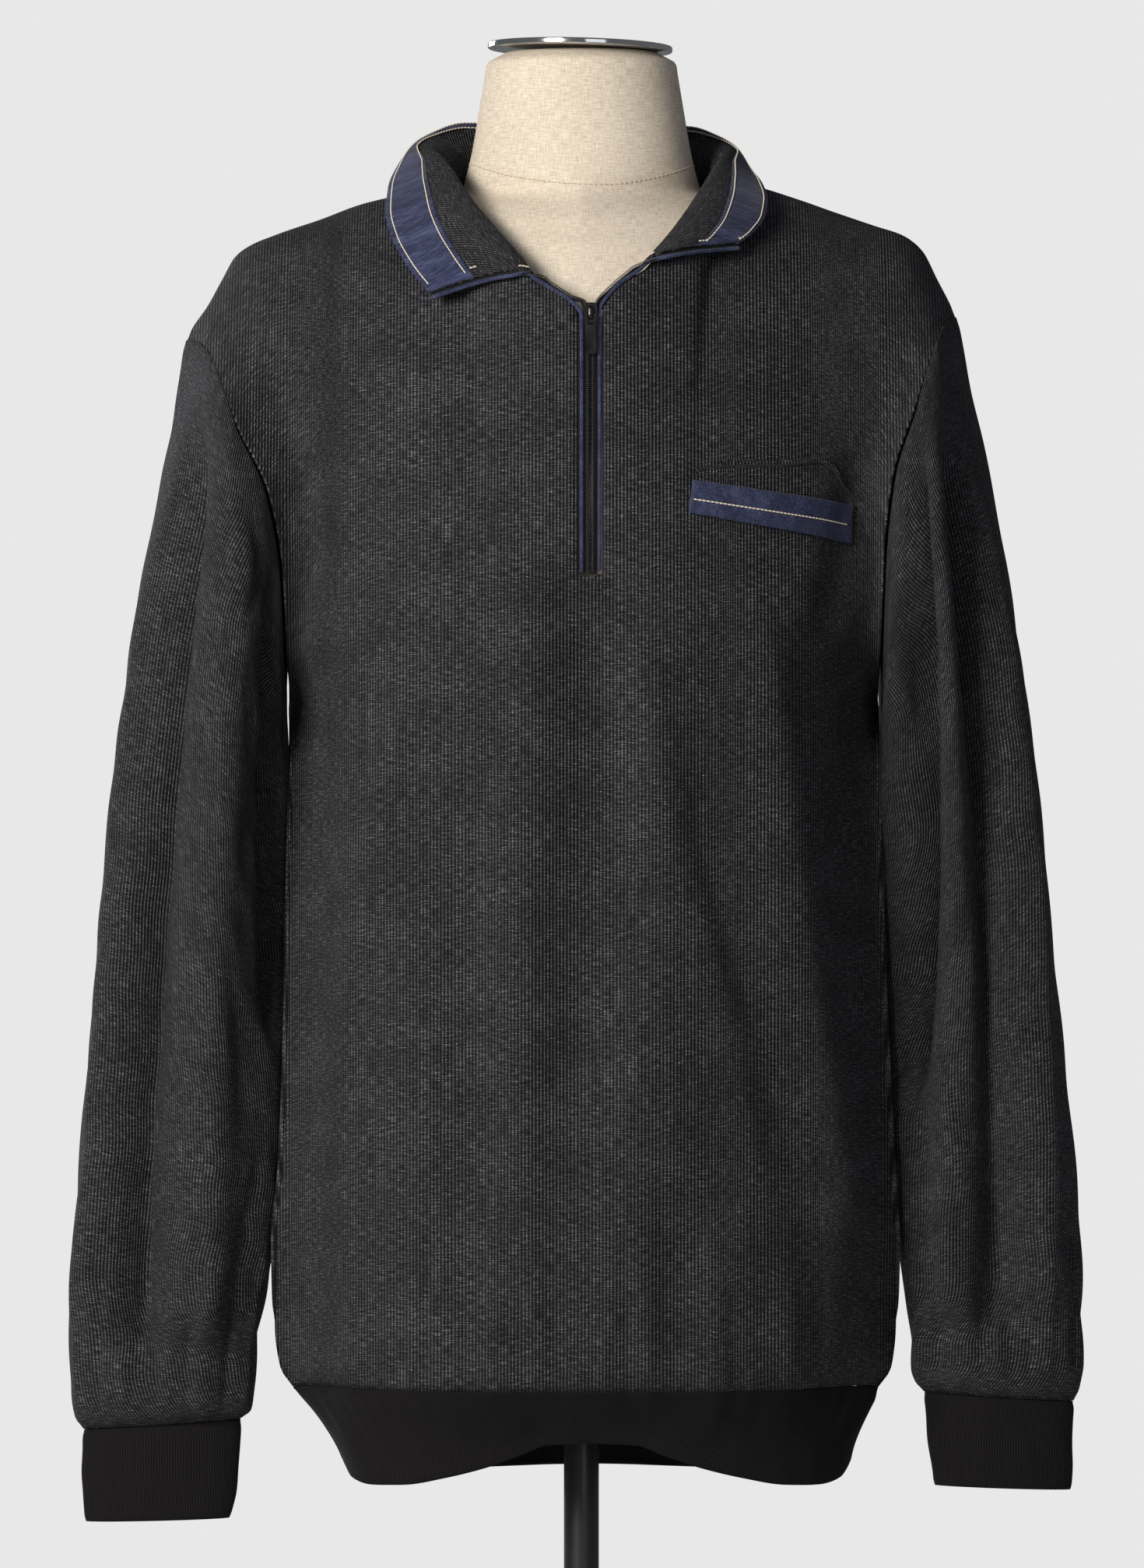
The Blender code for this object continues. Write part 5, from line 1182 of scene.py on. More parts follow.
# ---- the sewn pieces
@dataclass
class BodyPanel:
    """The front or the back, cut in one piece from knit."""

    face: Face
    width: float
    length: float
    area: float
    columns: int = 98
    slit_cells: int = 5
    low_rows: int = 104
    high_rows: int = 100
    seam_width: float = 0.0045
    seam_depth: float = 0.0012

    def build(self) -> bpy.types.Object:
        """Columns are even along the superellipse's turn; rows are even in height, then along the shoulder's turn.

        Returns:
            The panel, with its edges rolled in where they are sewn, and the front open along the zip.
        """
        high = np.concatenate([np.linspace(0, SLIT_END_TURN, 15)[1:],
                               np.linspace(SLIT_END_TURN, 1, self.high_rows - 13)[1:]])
        levels = np.concatenate([np.linspace(0, 1, self.low_rows), 1.0 + high])[:, None]
        share = np.sin(np.linspace(0, 1, self.columns) * pi / 2)[None, :] ** 0.85
        keep = None
        if self.face is Face.FRONT:
            gap_right = SURFACE.across_at(np.array(-SLIT_HALF_WIDTH), levels)
            gap_left = SURFACE.across_at(np.array(SLIT_HALF_WIDTH), levels)
            inside = np.linspace(-1, 1, self.slit_cells + 1)[None, 1:-1]
            middle = np.where(inside < 0, -inside * gap_right, inside * gap_left)
            across = np.concatenate([(gap_right + (-1 - gap_right) * share)[:, ::-1], middle,
                                     gap_left + (1 - gap_left) * share], axis=1)
            keep = np.ones((len(levels) - 1, across.shape[1] - 1), bool)
            start = self.columns - 1
            keep[np.ix_(levels[:-1, 0] > 1.0 + SLIT_END_TURN - 1e-6, np.arange(start, start + self.slit_cells))] = False
        else:
            across = np.broadcast_to(np.concatenate([-share[:, :0:-1], share], axis=1),
                                     (len(levels), 2 * self.columns - 1))
        outer = SURFACE.at(across, levels, self.face, creases=1.0)
        outer = outer + body_inward(outer) * self.seam_roll(outer, across, levels)[..., None]
        piece = Wall(KNIT_THICKNESS, Finish.KNIT, keep=keep, lengths=self.plumb_lengths(outer)).build(
            "knit_" + self.face.name.lower(), outer, np.array([0.0, self.face.value, 0.0]))
        dress_sheet(self.face.name.lower())
        return piece

    def plumb_lengths(self, outer: Array) -> Array:
        """The cloth's coordinates with its ribs hanging plumb: lengths across are read from the waist's row by x."""
        waist = outer[int(self.low_rows * 0.6)]
        run = np.concatenate([[0.0], np.cumsum(np.linalg.norm(np.diff(waist, axis=0), axis=-1))])
        run = run - np.interp(ZIP_X, waist[:, 0], run)
        across = np.interp(outer[..., 0], waist[:, 0], run) + (outer[..., 0] - np.clip(
            outer[..., 0], waist[0, 0], waist[-1, 0])) * 1.2
        drops = np.linalg.norm(np.diff(outer, axis=0, prepend=outer[:1]), axis=-1)
        return np.stack([across, np.cumsum(drops, axis=0)], axis=-1)

    def seam_roll(self, outer: Array, across: Array, levels: Array) -> Array:
        """How far the cloth dips into its seams: a bell over the distance to the armhole, hem, neck and shoulder."""
        half = np.abs(SURFACE.side_edge(np.broadcast_to(levels, across.shape), across > 0) - ZIP_X)
        to_side = (1.0 - np.abs(across)) * half
        to_hem = outer[..., 2] - outer[:1, :, 2]
        steps = np.linalg.norm(np.diff(outer, axis=0), axis=-1)
        to_top = np.concatenate([np.cumsum(steps[::-1], axis=0)[::-1], np.zeros((1, outer.shape[1]))])
        armhole = bump_at(to_side, self.seam_width) * eased((levels - 0.98) / 0.04)
        others = np.maximum(bump_at(to_hem, self.seam_width), 0.7 * bump_at(to_top, self.seam_width))
        return self.seam_depth * np.maximum(armhole, others)


@dataclass
class Sleeve:
    """A sleeve: one tube of knit from the armhole seam to the cuff seam."""

    side: Side
    width: float
    length: float
    area: float
    columns: int = 176
    rows: int = 186
    middle_y: float = 0.003
    tuck: float = 0.0024
    open_to: float = 0.11
    hollow: float = 0.004

    @property
    def table(self) -> Table:
        """The sleeve's sections."""
        return RIGHT_SLEEVE if self.side is Side.RIGHT else LEFT_SLEEVE

    def section(self, around: Array, down: Array) -> Array:
        """Points on the leaning oval sections."""
        angle = 2 * pi * around
        toward = (1.0 + np.cos(angle)) / 2
        table, middle = self.table, self.middle_y
        outer, inner = table.read("outer", down), table.read("inner", down)
        outer_z, inner_z = table.read("outer_z", down), table.read("inner_z", down)
        front, back = middle - table.read("front", down), table.read("back", down) - middle
        reach = np.where(np.sin(angle) > 0, front, back)
        x = self.side.value * (inner + (outer - inner) * toward)
        return np.stack([x, middle - reach * np.sin(angle), inner_z + (outer_z - inner_z) * toward], axis=-1)

    def surface(self, around: Array, down: Array, creases: float) -> Array:
        """The sections, blended into the armhole seam at the top, with folds raised off them.

        Args:
            around: 0 at the outer line, 0.25 in front, 0.5 inside, 0.75 behind.
            down: 0 at the armhole seam to 1 at the cuff seam.
            creases: how much of the small creases is added.
        Returns:
            The points.
        """
        side, table = self.side, self.table
        points = self.section(around, down)
        start = SURFACE.armhole(around, side) - self.section(around, np.zeros_like(down))
        run = unit(SURFACE.armhole((around + 0.004) % 1, side) - SURFACE.armhole((around - 0.004) % 1, side))
        leave = np.array([side.value, 0.0, -0.35])
        leave = unit(leave - run * np.sum(leave * run, axis=-1, keepdims=True))
        fade = 1.0 - eased(down / 0.30)
        points = points + (start + leave * 2 * SEAM_GAP) * fade[..., None]
        wide = (table.read("outer", down) - table.read("inner", down)) / 2
        deep = (table.read("back", down) - table.read("front", down)) / 2
        centre = np.stack([side.value * (table.read("outer", down) + table.read("inner", down)) / 2,
                           np.full(down.shape, self.middle_y),
                           (table.read("outer_z", down) + table.read("inner_z", down)) / 2], axis=-1)
        reach = centre - points
        inward = unit(np.stack([reach[..., 0] / wide**2, reach[..., 1] / deep**2,
                                reach[..., 2] / 0.12**2 * fade], axis=-1))
        shared = np.clip(np.cos(2 * pi * around), 0.0, 1.0) ** 0.5 * (1.0 - eased(down / 0.10))
        inward = unit(inward * (1.0 - shared)[..., None] + body_inward(points) * shared[..., None])
        folds, fine = ((RIGHT_SLEEVE_FOLDS, RIGHT_SLEEVE_CREASES) if side is Side.RIGHT
                       else (LEFT_SLEEVE_FOLDS, LEFT_SLEEVE_CREASES))
        raised = folds.sleeve_height(around, down) * eased(down / 0.10) * (1.0 - down**30)
        soft = wander(np.cos(2 * pi * around) * 0.08, down * 0.60 + np.sin(2 * pi * around) * 0.08,
                      8 + side.value, 14, 0.035, 0.13)
        small = (fine.sleeve_height(around, down) + 0.0010 * soft) * eased(down / 0.08) * (1.0 - down**24)
        length = 0.60
        roll = 0.0011 * (bump_at(down * length, 0.0045) + bump_at((1 - down) * length, 0.0040))
        tuck = self.tuck * bump_at(around - 0.5, 0.06) * window(down, self.open_to, 0.09, 0.80, 0.14)
        hollow = self.hollow * bump_at(around - 0.375, 0.075) * window(down, 0.07, 0.10, 0.74, 0.24)
        points[..., 0] -= side.value * tuck
        points[..., 1] += hollow * np.sin(2 * pi * around) ** 2
        return points - inward * (raised + creases * (small - roll))[..., None]

    def build(self) -> bpy.types.Object:
        """Columns run round from the inner line; rows crowd towards both seams.

        Returns:
            The sleeve.
        """
        spread = np.linspace(0, 1, self.rows)
        rows = spread - 0.09 * np.sin(2 * pi * spread) / (2 * pi) * 2
        around, down = np.meshgrid((0.5 + np.arange(self.columns) / self.columns) % 1.0, rows)
        outer = self.surface(around, down, 1.0)
        centre = outer.mean(axis=1, keepdims=True)
        wall = Wall(KNIT_THICKNESS, Finish.KNIT, tube=True)
        piece = wall.build("knit_sleeve_" + self.side.word, outer, outer - centre)
        dress_sheet("sleeve_" + self.side.word)
        return piece


@dataclass
class Cuff:
    """A cuff: a flat tube of rib under the sleeve."""

    side: Side
    width: float
    length: float
    area: float
    columns: int = 132
    rows: int = 34
    middle_y: float = 0.003

    def build(self) -> bpy.types.Object:
        """Sections are ovals; the cloth swells a little in the middle and pinches at the seam and the fold below.

        Returns:
            The cuff.
        """
        table = RIGHT_CUFF if self.side is Side.RIGHT else LEFT_CUFF
        around, down = np.meshgrid((0.5 + np.arange(self.columns) / self.columns) % 1.0, np.linspace(0, 1, self.rows))
        angle = 2 * pi * around
        toward = (1.0 + np.cos(angle)) / 2
        outer, inner = table.read("outer", down), table.read("inner", down)
        outer_z, inner_z = table.read("outer_z", down), table.read("inner_z", down)
        half = table.read("half_depth", down)
        ripple = wander(np.cos(angle) * 0.05, down * 0.05, 21 + self.side.value, 8, 0.02, 0.06)
        pinch = 0.0010 * (bump_at(down * 0.05, 0.003) + 0.6 * bump_at((1 - down) * 0.05, 0.0016))
        off = 0.0006 * ripple * np.sin(pi * down) - pinch
        x = self.side.value * (inner + (outer - inner) * toward + off * np.cos(angle))
        y = self.middle_y - (half + off) * np.sin(angle)
        points = np.stack([x, y, inner_z + (outer_z - inner_z) * toward - SEAM_GAP * 1.2], axis=-1)
        centre = points.mean(axis=1, keepdims=True)
        wall = Wall(RIB_THICKNESS, Finish.RIB, tube=True)
        piece = wall.build("rib_cuff_" + self.side.word, points, points - centre)
        dress_sheet("cuff_" + self.side.word)
        return piece


@dataclass
class HemBand:
    """The hem band: one tube of rib from the body's hem seam, drawn in towards its lower edge."""

    width: float
    length: float
    area: float
    columns: int = 120
    rows: int = 40
    lower_right: float = -0.1355
    lower_left: float = 0.1520
    lower_front: float = -0.0820
    lower_back: float = 0.0900

    def lower_edge(self, across: Array, face: Face) -> Array:
        """Points of the band's lower edge: a superellipse with its own heights."""
        fraction = np.abs(across)
        side_x = np.where(across > 0, self.lower_left, self.lower_right)
        depth = self.lower_front if face is Face.FRONT else self.lower_back
        crown = (1.0 - fraction**SURFACE.squareness) ** (1.0 / SURFACE.squareness)
        return np.stack([ZIP_X + (side_x - ZIP_X) * fraction, SIDE_SEAM_Y + (depth - SIDE_SEAM_Y) * crown,
                         HEM_EDGE.read(face.name.lower(), fraction)], axis=-1)

    def build(self) -> bpy.types.Object:
        """Each column goes from the hem seam to the lower edge, in first and then down, with a soft swell.

        Returns:
            The band.
        """
        share = np.linspace(0, 1, self.rows)[:, None]
        halves = []
        for face in Face:
            turn = np.sin(np.linspace(-1, 1, 2 * self.columns + 1) * pi / 2)
            across = np.sign(turn) * np.abs(turn) ** 0.85
            across = across if face is Face.FRONT else across[::-1][1:-1]
            top = SURFACE.at(across, np.zeros(across.shape), face, creases=1.0)
            top[..., 2] -= SEAM_GAP * 1.3
            low = self.lower_edge(across, face)
            sideways = 1.0 - (1.0 - share) ** 1.8
            mix = np.stack([sideways, sideways, share], axis=-1)
            halves.append(top + (low - top) * mix)
        outer = np.concatenate(halves, axis=1)
        u = np.cumsum(np.linalg.norm(np.diff(outer[0], axis=0, prepend=outer[0, :1]), axis=-1))[None, :]
        swell = 0.0016 * np.sin(pi * share) ** 0.8 + 0.0008 * wander(u, share * 0.05, 31, 10, 0.03, 0.09)
        pinch = 0.0011 * bump_at(share * 0.05, 0.0035) + 0.0007 * bump_at((1 - share) * 0.05, 0.0018)
        gathers = 0.0004 * np.sin(2 * pi * u / 0.0175 + 3 * wander(u, 0 * u, 32, 5, 0.05, 0.2)) * (1 - share) ** 2
        outer = outer - body_inward(outer) * ((swell + gathers) * np.minimum(1, 6 * share) - pinch)[..., None]
        piece = Wall(RIB_THICKNESS, Finish.RIB, tube=True).build(
            "rib_hem_band", outer, outer - outer.mean(axis=1, keepdims=True))
        dress_sheet("hem_band")
        return piece


@dataclass
class Collar:
    """The stand collar, worn open and turned out over the chest, with twill tape on its inner face."""

    width: float
    length: float
    area: float
    tape_width: float
    tape_length: float
    tape_area: float
    neck_fraction: float = 0.355
    end_fraction: float = 0.142
    side_station: float = 0.50
    lift: float = 0.0022
    lap: float = 0.07
    tape_start: float = 0.54
    back_tape_start: float = 0.90
    tacks: tuple[tuple[float, float, float], ...] = (
        (-0.985, 0.02, 0.12), (0.985, 0.02, 0.10), (0.975, 0.50, 0.60), (0.975, 0.90, 0.99), (-0.975, 0.46, 0.54))
    columns: int = 181
    rows: int = 46

    def neck_seam(self, station: Array) -> Array:
        """The neck seam by signed station: -1 and 1 at the zip on the right and left, 0 behind the neck."""
        share = np.abs(station)
        back_fraction = self.neck_fraction * share / self.side_station
        front_share = np.clip((share - self.side_station) / (1.0 - self.side_station), 0.0, 1.0)
        front_fraction = self.neck_fraction + (self.end_fraction - self.neck_fraction) * front_share
        side = np.where(station > 0, 1.0, -1.0)
        top = np.full(station.shape, 2.0)
        back = SURFACE.at(side * back_fraction, top, Face.BACK)
        return np.where((share <= self.side_station)[..., None], back, SURFACE.at(side * front_fraction, top, Face.FRONT))

    def surface(self, station: Array, height: Array) -> Array:
        """The under face: straight from the neck seam to the free edge, plus a roll that rises early.

        Args:
            station: -1 to 1 round the neck.
            height: 0 at the neck seam to 1 at the free edge.
        Returns:
            The points.
        """
        share, is_left = np.abs(station), station > 0
        seam = self.neck_seam(station)
        seam = seam - body_inward(seam) * self.lift
        free = np.stack([COLLAR_ROWS.read_side(axis, share, is_left) for axis in "xyz"], axis=-1)
        forward = eased((share - 0.55) / 0.40)
        way = unit(np.stack([np.zeros(share.shape), -0.75 * forward, 1.0 - 0.25 * forward], axis=-1))
        rise = COLLAR_ROWS.read("rise", share) * np.sin(pi * np.maximum(height, 0.0) ** 0.62)
        return seam + (free - seam) * height[..., None] + way * rise[..., None]

    def out(self, station: Array, height: Array, step: float = 0.004) -> Array:
        """Directions out of the inner face, which is the one that shows."""
        along = (self.surface(np.clip(station + step, -1, 1), height)
                 - self.surface(np.clip(station - step, -1, 1), height))
        up = (self.surface(station, np.clip(height + step, 0, 1))
              - self.surface(station, np.clip(height - step, 0, 1)))
        return unit(np.cross(along, up))

    def inner_face(self, station: Array, height: Array) -> tuple[Array, Array]:
        """The face that shows, a little uneven, and its outward directions."""
        out = self.out(station, height)
        soft = wander(station * 0.25, height * 0.06, 41, 10, 0.03, 0.10) * np.sin(pi * np.clip(height, 0, 1)) ** 0.5
        return self.surface(station, height) + out * (COLLAR_THICKNESS + 0.0005 * soft)[..., None], out

    def tape_edge(self, station: Array) -> Array:
        """Height of the tape's inner edge, which rises to the free edge behind the neck."""
        return self.tape_start + (self.back_tape_start - self.tape_start) * eased((0.60 - np.abs(station)) / 0.15)

    def build(self) -> None:
        """Adds the collar, its tape and the two rows of stitches along the tape."""
        station, share = np.meshgrid(np.linspace(-1, 1, self.columns), np.linspace(0, 1, self.rows))
        height = share - self.lap * eased((0.66 - np.abs(station)) / 0.10) * (1.0 - share)
        face, out = self.inner_face(station, height)
        collar = Wall(COLLAR_THICKNESS, Finish.KNIT).build("knit_collar", face, out)
        dress_sheet("collar")
        station, share = np.meshgrid(np.linspace(-1, 1, self.columns), np.linspace(0.0, 1.0, 22))
        start = self.tape_edge(station)
        face, out = self.inner_face(station, start + (1.0 - start) * share)
        edge = np.minimum(share, 1.0 - share)
        puff = TAPE_THICKNESS * (0.55 + 0.45 * eased(edge / 0.10)) - 0.0004 * bump_at(edge - 0.09, 0.035)
        face = face + out * puff[..., None]
        tape = Wall(TAPE_THICKNESS * 0.5, Finish.TWILL).build("twill_collar_tape", face, out)
        dress_sheet("collar_tape")
        bars = []
        for inset in (0.10, 0.88):
            line = np.linspace(-0.985, 0.985, 300)
            start = self.tape_edge(line)
            points, ways = self.inner_face(line, start + (1.0 - start) * inset)
            bars += stitches(points + ways * TAPE_THICKNESS * 0.95, ways, 0.0025, 0.0023, 0.00036)
        for station, foot, head in self.tacks:
            points, ways = self.inner_face(np.full(8, station), np.linspace(foot, head, 8))
            bars += stitches(points + ways * TAPE_THICKNESS * 0.6, ways, 0.0021, 0.0019, 0.00036)
        join_bars("topstitch_collar_tape", bars, Finish.CREAM_THREAD)


@dataclass
class HalfZip:
    """The zip: piping along both edges of the slit, two coils on their tapes, and the slider with its pull."""

    collar: Collar
    piping_radius: float = 0.0011
    chain_radius: float = 0.00135
    chain_depth: float = 0.0006
    chain_turns: tuple[float, float] = (0.170, 0.78)
    piping_turns: tuple[float, float] = (0.167, 0.87)
    parting: tuple[tuple[float, float], ...] = (
        (0.0015, -0.0057), (0.0016, -0.0020), (0.0022, 0.0016), (0.0026, 0.0042), (0.0037, 0.0068))
    lapel_fractions: tuple[float, ...] = (0.052, 0.075, 0.100, 0.122)
    lapel_lifts: tuple[float, ...] = (-0.0006, -0.0003, 0.0012, 0.0036)
    heights: tuple[float, ...] = (0.07, 0.17, 0.30, 0.45, 0.60, 0.75, 0.88, 0.99)
    slider_top: float = 1.2125
    slider_length: float = 0.0115
    pitch: float = 0.00108
    tooth_radius: float = 0.00031

    def slider_frame(self) -> tuple[Array, Array, Array, Array]:
        """The slider's middle and its axes: across, outward and up, leaning with the cloth."""
        low, high = SURFACE.slit(self.chain_radius, np.array([0.70, 0.82]), self.chain_depth)
        up = unit((high - low) * np.array([0.0, 1.0, 1.0]))
        across = np.array([1.0, 0.0, 0.0])
        middle = high + up * ((self.slider_top - high[2]) / up[2] - self.slider_length / 2)
        middle[0] = ZIP_X
        return middle, across, np.cross(across, up), up

    def even(self, path: Array, *carried: Array) -> list[Array]:
        """The path as 400 points at even steps, with the directions that it carries."""
        at = np.concatenate([[0.0], np.cumsum(np.linalg.norm(np.diff(path, axis=0), axis=-1))])
        steps = np.linspace(0, at[-1], 400)
        smooth = [np.stack([smooth_curve(at, values[:, axis], steps) for axis in range(3)], axis=-1)
                  for values in (path, *carried)]
        return [smooth[0]] + [unit(ways) for ways in smooth[1:]]

    def paths(self, side: Side) -> tuple[list[Array], list[Array]]:
        """The coil's and the piping's middle lines: up the slit, then along the open edge and the collar's end.

        Args:
            side: which half.
        Returns:
            The coil's points, its outward directions and those towards the cloth that its tape is sewn to, and
            the piping's points and outward directions.
        """
        sign = side.value
        turns = np.linspace(*self.chain_turns, 40)
        closed = SURFACE.slit(sign * (self.chain_radius + SEAM_GAP / 2), turns, self.chain_depth)
        middle, across, outward, up = self.slider_frame()
        parting = np.array([middle + across * sign * off + up * rise for off, rise in self.parting])
        off_edge = self.chain_radius + SEAM_GAP * 2
        fractions = np.array(self.lapel_fractions) * sign
        top = np.full(fractions.shape, 2.0)
        edge = SURFACE.at(fractions, top, Face.FRONT)
        run = SURFACE.at(fractions + 0.005, top, Face.FRONT) - SURFACE.at(fractions - 0.005, top, Face.FRONT)
        edge_out = -body_inward(edge)
        off = unit(np.cross(edge_out, run))
        lapel = edge + off * off_edge + edge_out * np.array(self.lapel_lifts)[:, None]
        heights = np.array(self.heights)
        stations = np.full(heights.shape, float(sign))
        under = self.collar.surface(stations, heights)
        climb = unit(self.collar.surface(stations, heights + 0.01) - self.collar.surface(stations, heights - 0.01))
        away = under - self.collar.surface(stations * 0.98, heights)
        away = unit(away - climb * np.sum(away * climb, axis=-1, keepdims=True))
        out = np.cross(climb, away) * sign
        corner = 0.0022 * np.exp(-heights / 0.14)[:, None]
        end = under + away * off_edge + out * COLLAR_THICKNESS / 2 - body_inward(under) * corner
        coil = self.even(np.concatenate([closed, parting, lapel, end]),
                         np.concatenate([-body_inward(closed), np.tile(outward, (len(parting), 1)), edge_out, out]),
                         np.concatenate([np.tile(across * sign, (len(closed) + len(parting), 1)), -off, -away]))
        slit = SURFACE.slit(sign * (SLIT_HALF_WIDTH - SEAM_GAP - self.piping_radius),
                            np.linspace(*self.piping_turns, 60), 0.0002)
        lift = self.piping_radius + np.array(self.lapel_lifts)[:, None] / 2
        turned_edge = edge - off * 0.0008 + edge_out * lift
        under_edge = under + (away * (off_edge + self.piping_radius) - out * 0.0008) * eased(heights / 0.2)[:, None]
        piping = self.even(np.concatenate([slit, turned_edge, under_edge]),
                           np.concatenate([-body_inward(slit), edge_out, out]))
        return coil, piping

    def build_half(self, side: Side) -> None:
        """Adds one half's coil and tape, and the piping beside it."""
        (path, faced, cloth), (line, line_out) = self.paths(side)
        points, ways = resample(path, self.pitch, faced)
        _, towards = resample(path, self.pitch, cloth)
        if side is Side.LEFT:
            points, ways, towards = points[:-1] + np.diff(points, axis=0) / 2, ways[:-1], towards[:-1]
        reach = np.linspace(-0.96, 0.92, 7)[None, :, None] * self.chain_radius
        arch = (1.0 - np.linspace(-1, 1, 7) ** 4)[None, :, None] * 0.0007 - 0.0002
        lines = points[:, None] + towards[:, None] * reach + ways[:, None] * arch
        bars = [swept(line, np.tile(way, (7, 1)), self.tooth_radius, self.tooth_radius, 6)
                for line, way in zip(lines, ways)]
        teeth = join_bars("coil_" + side.word, bars, Finish.NYLON)
        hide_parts("zip_chain_" + side.word)
        tape = swept(path + cloth * 0.0010 - faced * 0.0007, faced, 0.0012, 0.00025, 12, 0.6)
        join_bars("zip_tape_" + side.word, [tape], Finish.ZIP_TAPE)
        piping = join_bars("twill_piping_" + side.word,
                           [swept(line, line_out, self.piping_radius, self.piping_radius, 14)], Finish.TWILL)
        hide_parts("piping_" + side.word)

    def build(self) -> None:
        """Adds both halves; the slider and the pull are shown by their solids as they are."""
        for side in Side:
            self.build_half(side)


@dataclass
class PocketWelt:
    """The chest pocket on the wearer's left: a twill welt with one row of stitches, and the gaping lip above it."""

    corners: tuple[tuple[float, float], ...] = ((0.0610, 1.1150), (0.1535, 1.1030), (0.1520, 1.0815), (0.0585, 1.0968))
    lift: float = 0.0012
    thickness: float = 0.0014
    lip: tuple[tuple[float, float], ...] = (
        (0.0625, 1.1190), (0.0695, 1.1233), (0.0937, 1.1251), (0.1126, 1.1255), (0.1320, 1.1277),
        (0.1399, 1.1251), (0.1456, 1.1180), (0.1509, 1.1123), (0.1575, 1.1080))
    width: float = 0.093
    length: float = 0.022
    area: float = 0.00204

    def place(self, run: Array, fall: Array) -> Array:
        """x and z of a place on the welt: run along it and fall down it, both 0 to 1."""
        corners = np.array(self.corners)
        top = corners[0] + (corners[1] - corners[0]) * run[..., None]
        foot = corners[3] + (corners[2] - corners[3]) * run[..., None]
        return top + (foot - top) * fall[..., None]

    def face(self, run: Array, fall: Array) -> tuple[Array, Array]:
        """Points of the welt's face, rounded off at its edges, and their outward directions."""
        place = self.place(run, fall)
        points = SURFACE.front_at(place[..., 0], place[..., 1], 1.0)
        out = -body_inward(points)
        edge = np.minimum(np.minimum(run, 1 - run) * self.width, np.minimum(fall, 1 - fall) * self.length)
        height = self.lift + self.thickness * (0.45 + 0.55 * eased(edge / 0.0016))
        return points + out * height[..., None], out

    def build(self) -> None:
        """Adds the welt, its stitches, and the lip of knit above it."""
        run, fall = np.meshgrid(np.linspace(0, 1, 90), np.linspace(0, 1, 26))
        points, out = self.face(run, fall)
        welt = Wall(self.thickness * 0.8, Finish.TWILL).build("twill_pocket_welt", points, out)
        dress_sheet("pocket_welt")
        line = np.linspace(0.02, 0.98, 120)
        points, out = self.face(line, 0.57 - 0.04 * line)
        join_bars("topstitch_pocket", stitches(points + out * 0.0001, out, 0.0025, 0.0023, 0.00040),
                  Finish.CREAM_THREAD)
        self.build_lip()

    def build_lip(self) -> None:
        """Adds the opening's rolled lip of knit and, under it, a black bar that is a dark edge thread and the painted
        shadow of the gap.
        """
        given = np.array(self.lip)
        run = np.concatenate([[0.0], np.cumsum(np.linalg.norm(np.diff(given, axis=0), axis=-1))])
        at = np.linspace(0, run[-1], 110)
        x, z = smooth_curve(run, given[:, 0], at), smooth_curve(run, given[:, 1], at)
        points = SURFACE.front_at(x, z, 1.0)
        out = -body_inward(points)
        taper = 0.35 + 0.65 * eased(np.minimum(at, run[-1] - at) / 0.012)
        lip = swept(points + out * 0.0002, out, 0.0013 * taper, 0.0009 * taper, 12)
        join_bars("knit_pocket_lip", [lip], Finish.KNIT)
        # Painted shadow: a black bar under the lip, where the gap between lip and welt is in shade, also standing for a
        # dark edge thread.
        edge = swept(points + out * 0.0003 - np.array([0.0, 0.0, 0.0014]) * taper[:, None], out,
                     0.0008 * taper, 0.0006 * taper, 8)
        join_bars("edge_pocket_opening", [edge], Finish.BLACK_THREAD)


